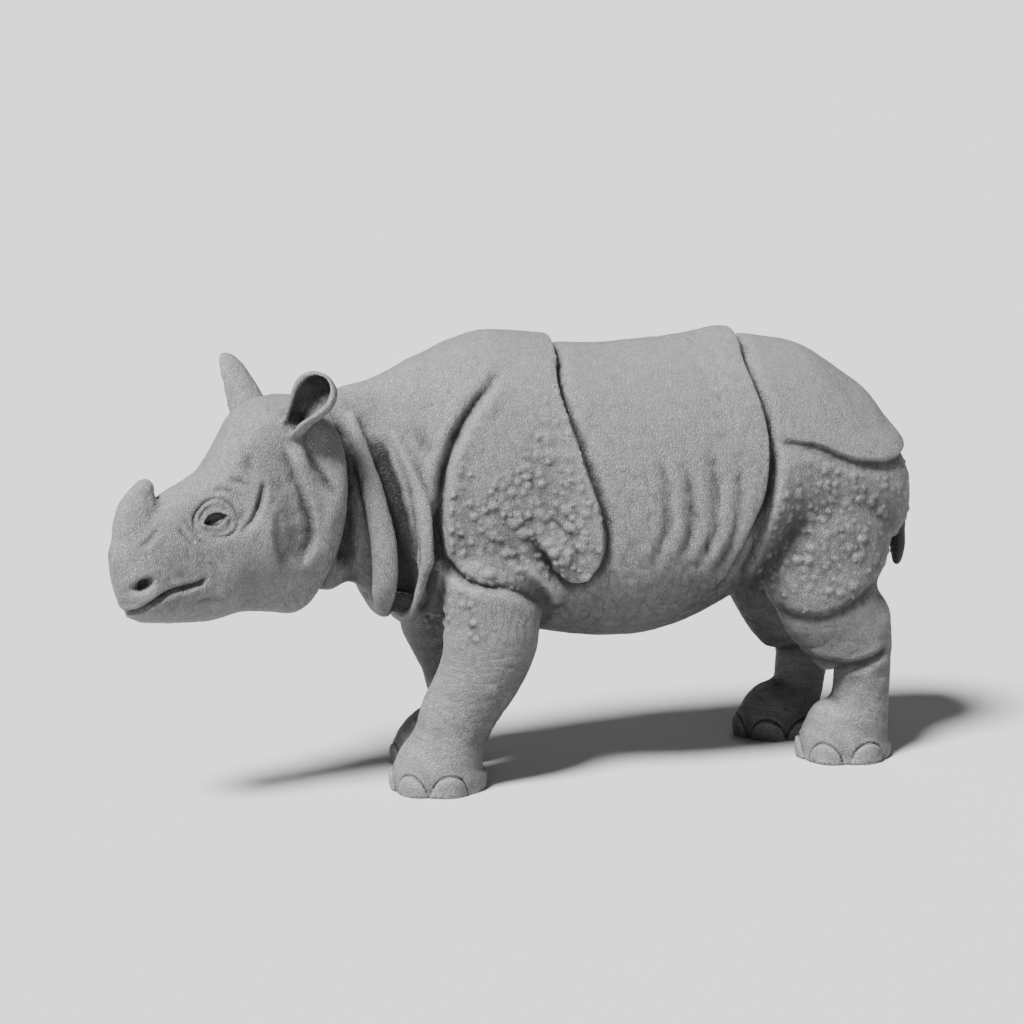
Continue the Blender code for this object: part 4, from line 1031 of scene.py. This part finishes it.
def skin_material(settings):
    """Matte grey resin with fine wrinkles and dark painted eyes; painted shade in its recesses and fine
    cracks, on its undersides, low down and on the tail, and a painted highlight where it stands out.
    """
    material = bpy.data.materials.new("grey_resin_skin")
    material.use_nodes = True
    tree = material.node_tree
    link = tree.links.new
    shader = tree.nodes["Principled BSDF"]
    place = add(tree, "ShaderNodeTexCoord").outputs["Object"]
    painted_shade_mask, raised, limb_mask, eye, tail = [
        add(tree, "ShaderNodeAttribute", attribute_name=name).outputs["Fac"]
        for name in ("painted_shade_mask", "raised", "limb", "eye", "tail")]
    blotch = textured(tree, "ShaderNodeTexNoise", place, Scale=BLOTCH_SCALE, Detail=5.0, Roughness=0.6)
    base = mixed(tree, "RGBA", blotch.outputs["Fac"], settings.shade_colour, settings.skin_colour)
    # Painted highlight: lighter where the skin stands over the skin round it.
    highlighted = mixed(tree, "RGBA", raised, base, settings.painted_highlight_colour)
    group = wrinkle_group()
    heights = []
    for stretch in (FLANK_STRETCH, LEG_STRETCH):
        node = add(tree, "ShaderNodeGroup")
        node.node_tree = group
        node.inputs["Stretch"].default_value = stretch
        link(place, node.inputs["Vector"])
        heights.append(node.outputs["Height"])
    wrinkles = mixed(tree, "FLOAT", limb_mask, *heights)
    # Painted shade in the fine cracks: darker where the wrinkles are low.
    cracks = add(tree, "ShaderNodeMapRange", From_Min=0.3, From_Max=1.3)
    link(wrinkles, cracks.inputs["Value"])
    shaded_cracks = mixed(tree, "RGBA", cracks.outputs["Result"], settings.crack_shade_colour, highlighted)
    # Painted shade in recesses, on undersides, low on the body and inside the ears.
    shaded_skin = mixed(tree, "RGBA", painted_shade_mask, shaded_cracks, settings.painted_shade_colour)
    # The lower tail, which hangs in shade, painted in the shade colour.
    tail_shaded = mixed(tree, "RGBA", tail, shaded_skin, settings.painted_shade_colour)
    link(mixed(tree, "RGBA", eye, tail_shaded, settings.eye_colour), shader.inputs["Base Color"])
    worn = textured(tree, "ShaderNodeTexNoise", place, Scale=WORN_SCALE, Detail=4.0)
    smoothest, roughest = settings.roughness - 0.08, settings.roughness + 0.10
    matte = add(tree, "ShaderNodeMapRange", To_Min=smoothest, To_Max=roughest)
    link(worn.outputs["Fac"], matte.inputs["Value"])
    link(mixed(tree, "FLOAT", eye, matte.outputs["Result"], EYE_ROUGHNESS), shader.inputs["Roughness"])
    grain = textured(tree, "ShaderNodeTexNoise", place, Scale=GRAIN_SCALE, Detail=2.0)
    rough_skin = add(tree, "ShaderNodeMath", operation="MULTIPLY_ADD")
    rough_skin.inputs[1].default_value = GRAIN_SHARE
    link(grain.outputs["Fac"], rough_skin.inputs[0])
    link(wrinkles, rough_skin.inputs[2])
    bump = add(tree, "ShaderNodeBump", Strength=1.0, Distance=settings.wrinkle_depth)
    link(mixed(tree, "FLOAT", eye, rough_skin.outputs["Value"], 1.0), bump.inputs["Height"])
    link(bump.outputs["Normal"], shader.inputs["Normal"])
    return material


def plain_material(name, colour, roughness):
    """A material of one colour, for the studio floor."""
    material = bpy.data.materials.new(name)
    material.use_nodes = True
    shader = material.node_tree.nodes["Principled BSDF"]
    shader.inputs["Base Color"].default_value = (*colour[:3], 1.0)
    shader.inputs["Roughness"].default_value = roughness
    return material


def colour(name, description, *value):
    """A colour setting."""
    return bpy.props.FloatVectorProperty(
        name=name, description=description, subtype="COLOR", size=3, default=value)


def number(name, description, value, low, high=1000.0, **kinds):
    """A number setting with its limits."""
    return bpy.props.FloatProperty(
        name=name, description=description, default=value, min=low, max=high, **kinds)


class FigureSettings(bpy.types.PropertyGroup):
    """Sizes and colours of the figurine's skin."""

    skin_colour: colour("Skin", "Main colour of the resin", 0.165, 0.165, 0.168)
    shade_colour: colour("Shade", "Darker tone of the resin's mottling", 0.125, 0.125, 0.128)
    # Painted highlight on raised skin, lighter where it stands out.
    painted_highlight_colour: colour("Painted highlights", "Lighter tone on knobs and folds", 0.21, 0.21, 0.213)
    # Painted shade in the fine cracks of the wrinkles.
    crack_shade_colour: colour("Cracks", "Tone of the fine wrinkles", 0.085, 0.085, 0.087)
    # Painted shade in recesses, under the body, low down, inside the ears and on the tail.
    painted_shade_colour: colour("Painted shade", "Painted shade in the folds, under the body and low down", 0.014, 0.014, 0.015)
    eye_colour: colour("Eyes", "Dark paint of the eyes", 0.006, 0.006, 0.006)
    roughness: number("Roughness", "How matte the resin is", 0.6, 0.2, 0.9)
    wrinkle_depth: number(
        "Wrinkle depth", "Depth of the fine wrinkles", 0.00009, 0.0, 0.001, subtype="DISTANCE",
        unit="LENGTH", precision=5)
    wrinkle_share: number(
        "Carved wrinkles", "Depth of the carved wrinkles, as a share of the usual one", 1.0, 0.0, 2.0,
        subtype="FACTOR")
    knob_height: number(
        "Knob height", "Height of the skin's knobs, as a share of the usual one", 1.0, 0.0, 2.0,
        subtype="FACTOR")


class StudioSettings(bpy.types.PropertyGroup):
    """Floor, lights and camera."""

    floor_colour: colour("Floor", "Colour of the plain floor", 0.42, 0.42, 0.42)
    floor_size: number(
        "Floor size", "Side of the floor", 80.0 * LENGTH, 0.5, subtype="DISTANCE", unit="LENGTH")
    key_power: number("Key light", "Power of the high key light", 14.5, 0.0)
    azimuth: number(
        "Camera azimuth", "Turn of the camera from the figure's side", float(np.radians(-17.0)), -np.pi,
        np.pi, subtype="ANGLE", unit="ROTATION")
    elevation: number(
        "Camera elevation", "Height of the camera as an angle", float(np.radians(12.0)), -np.pi, np.pi,
        subtype="ANGLE", unit="ROTATION")
    distance: number(
        "Camera distance", "From the camera to the figure's middle", 4.476 * LENGTH, 0.1,
        subtype="DISTANCE", unit="LENGTH")


class FIGURE_OT_carve(bpy.types.Operator):
    """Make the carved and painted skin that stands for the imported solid"""

    bl_idname = "figure.carve_rhinoceros"
    bl_label = "Carve the rhinoceros"

    def execute(self, context):
        settings = context.scene.figure_settings
        dense, low, high = carved_mesh(settings.knob_height, settings.wrinkle_share)
        mesh = thinned(dense, TRIANGLES)
        bpy.data.meshes.remove(dense)
        points = standing(coordinates(mesh))
        masks(mesh, points)
        mesh.vertices.foreach_set("co", to_frame(points, low, high).astype(np.float32).ravel())
        mesh.update()
        mesh.shade_smooth()
        mesh.materials.clear()
        mesh.materials.append(skin_material(settings))
        mesh.name = "carved_rhinoceros"
        figure = add_object("carved_rhinoceros", mesh)
        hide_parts(NODE)
        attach(figure, "root")
        return {"FINISHED"}


class FIGURE_OT_studio(bpy.types.Operator):
    """Lay the floor and set up the soft lights and the camera"""

    bl_idname = "figure.set_up_studio"
    bl_label = "Set up the studio"

    def execute(self, context):
        settings = context.scene.studio_settings
        half = settings.floor_size / 2.0
        mesh = bpy.data.meshes.new("studio_floor")
        corners = [(-half, -half, 0.0), (half, -half, 0.0), (half, half, 0.0), (-half, half, 0.0)]
        mesh.from_pydata(corners, [], [(0, 1, 2, 3)])
        mesh.materials.append(plain_material("studio_floor", settings.floor_colour, 0.9))
        add_object("studio_floor", mesh)
        middle = Vector((0.0, 0.0, 0.3 * LENGTH))
        key = bpy.data.lights.new("key_light", "SUN")
        key.energy, key.angle = settings.key_power, KEY_SPREAD
        place = Vector(KEY_PLACE) * LENGTH
        add_object("key_light", key, place, middle - place)
        for name, place, size, power in SOFT_LIGHTS:
            light = bpy.data.lights.new(name, "AREA")
            light.size, light.energy = size * LENGTH, power
            place = Vector(place) * LENGTH
            add_object(name, light, place, middle - place)
        world = bpy.data.worlds.new("studio")
        world.use_nodes = True
        background = world.node_tree.nodes["Background"]
        background.inputs["Color"].default_value = (1.0, 1.0, 1.0, 1.0)
        background.inputs["Strength"].default_value = WORLD_LIGHT
        context.scene.world = world
        camera = bpy.data.cameras.new("camera")
        camera.sensor_width, camera.lens = SENSOR, LENS
        a, e = settings.azimuth, settings.elevation
        back = Vector((np.sin(a) * np.cos(e), -np.cos(a) * np.cos(e), np.sin(e)))
        place = Vector(CAMERA_AIM) * LENGTH + back * settings.distance
        context.scene.camera = add_object("camera", camera, place, -back)
        return {"FINISHED"}


class FIGURE_PT_panel(bpy.types.Panel):
    """The figurine's settings and its makers, in the sidebar"""

    bl_label = "Rhinoceros Figurine"
    bl_idname = "FIGURE_PT_panel"
    bl_space_type = "VIEW_3D"
    bl_region_type = "UI"
    bl_category = "Rhinoceros"

    def draw(self, context):
        for settings in (context.scene.figure_settings, context.scene.studio_settings):
            for name in settings.__annotations__:
                self.layout.prop(settings, name)
        self.layout.operator(FIGURE_OT_carve.bl_idname)
        self.layout.operator(FIGURE_OT_studio.bl_idname)


CLASSES = (FigureSettings, StudioSettings, FIGURE_OT_carve, FIGURE_OT_studio, FIGURE_PT_panel)


def register():
    """Register the classes and hang the settings on the scene."""
    for item in CLASSES:
        bpy.utils.register_class(item)
    bpy.types.Scene.figure_settings = bpy.props.PointerProperty(type=FigureSettings)
    bpy.types.Scene.studio_settings = bpy.props.PointerProperty(type=StudioSettings)


def unregister():
    """Take the settings and the classes away again."""
    del bpy.types.Scene.figure_settings
    del bpy.types.Scene.studio_settings
    for item in reversed(CLASSES):
        bpy.utils.unregister_class(item)


def main():
    """Register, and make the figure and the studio."""
    register()
    bpy.ops.figure.carve_rhinoceros()
    bpy.ops.figure.set_up_studio()


if __name__ == "__main__":
    main()
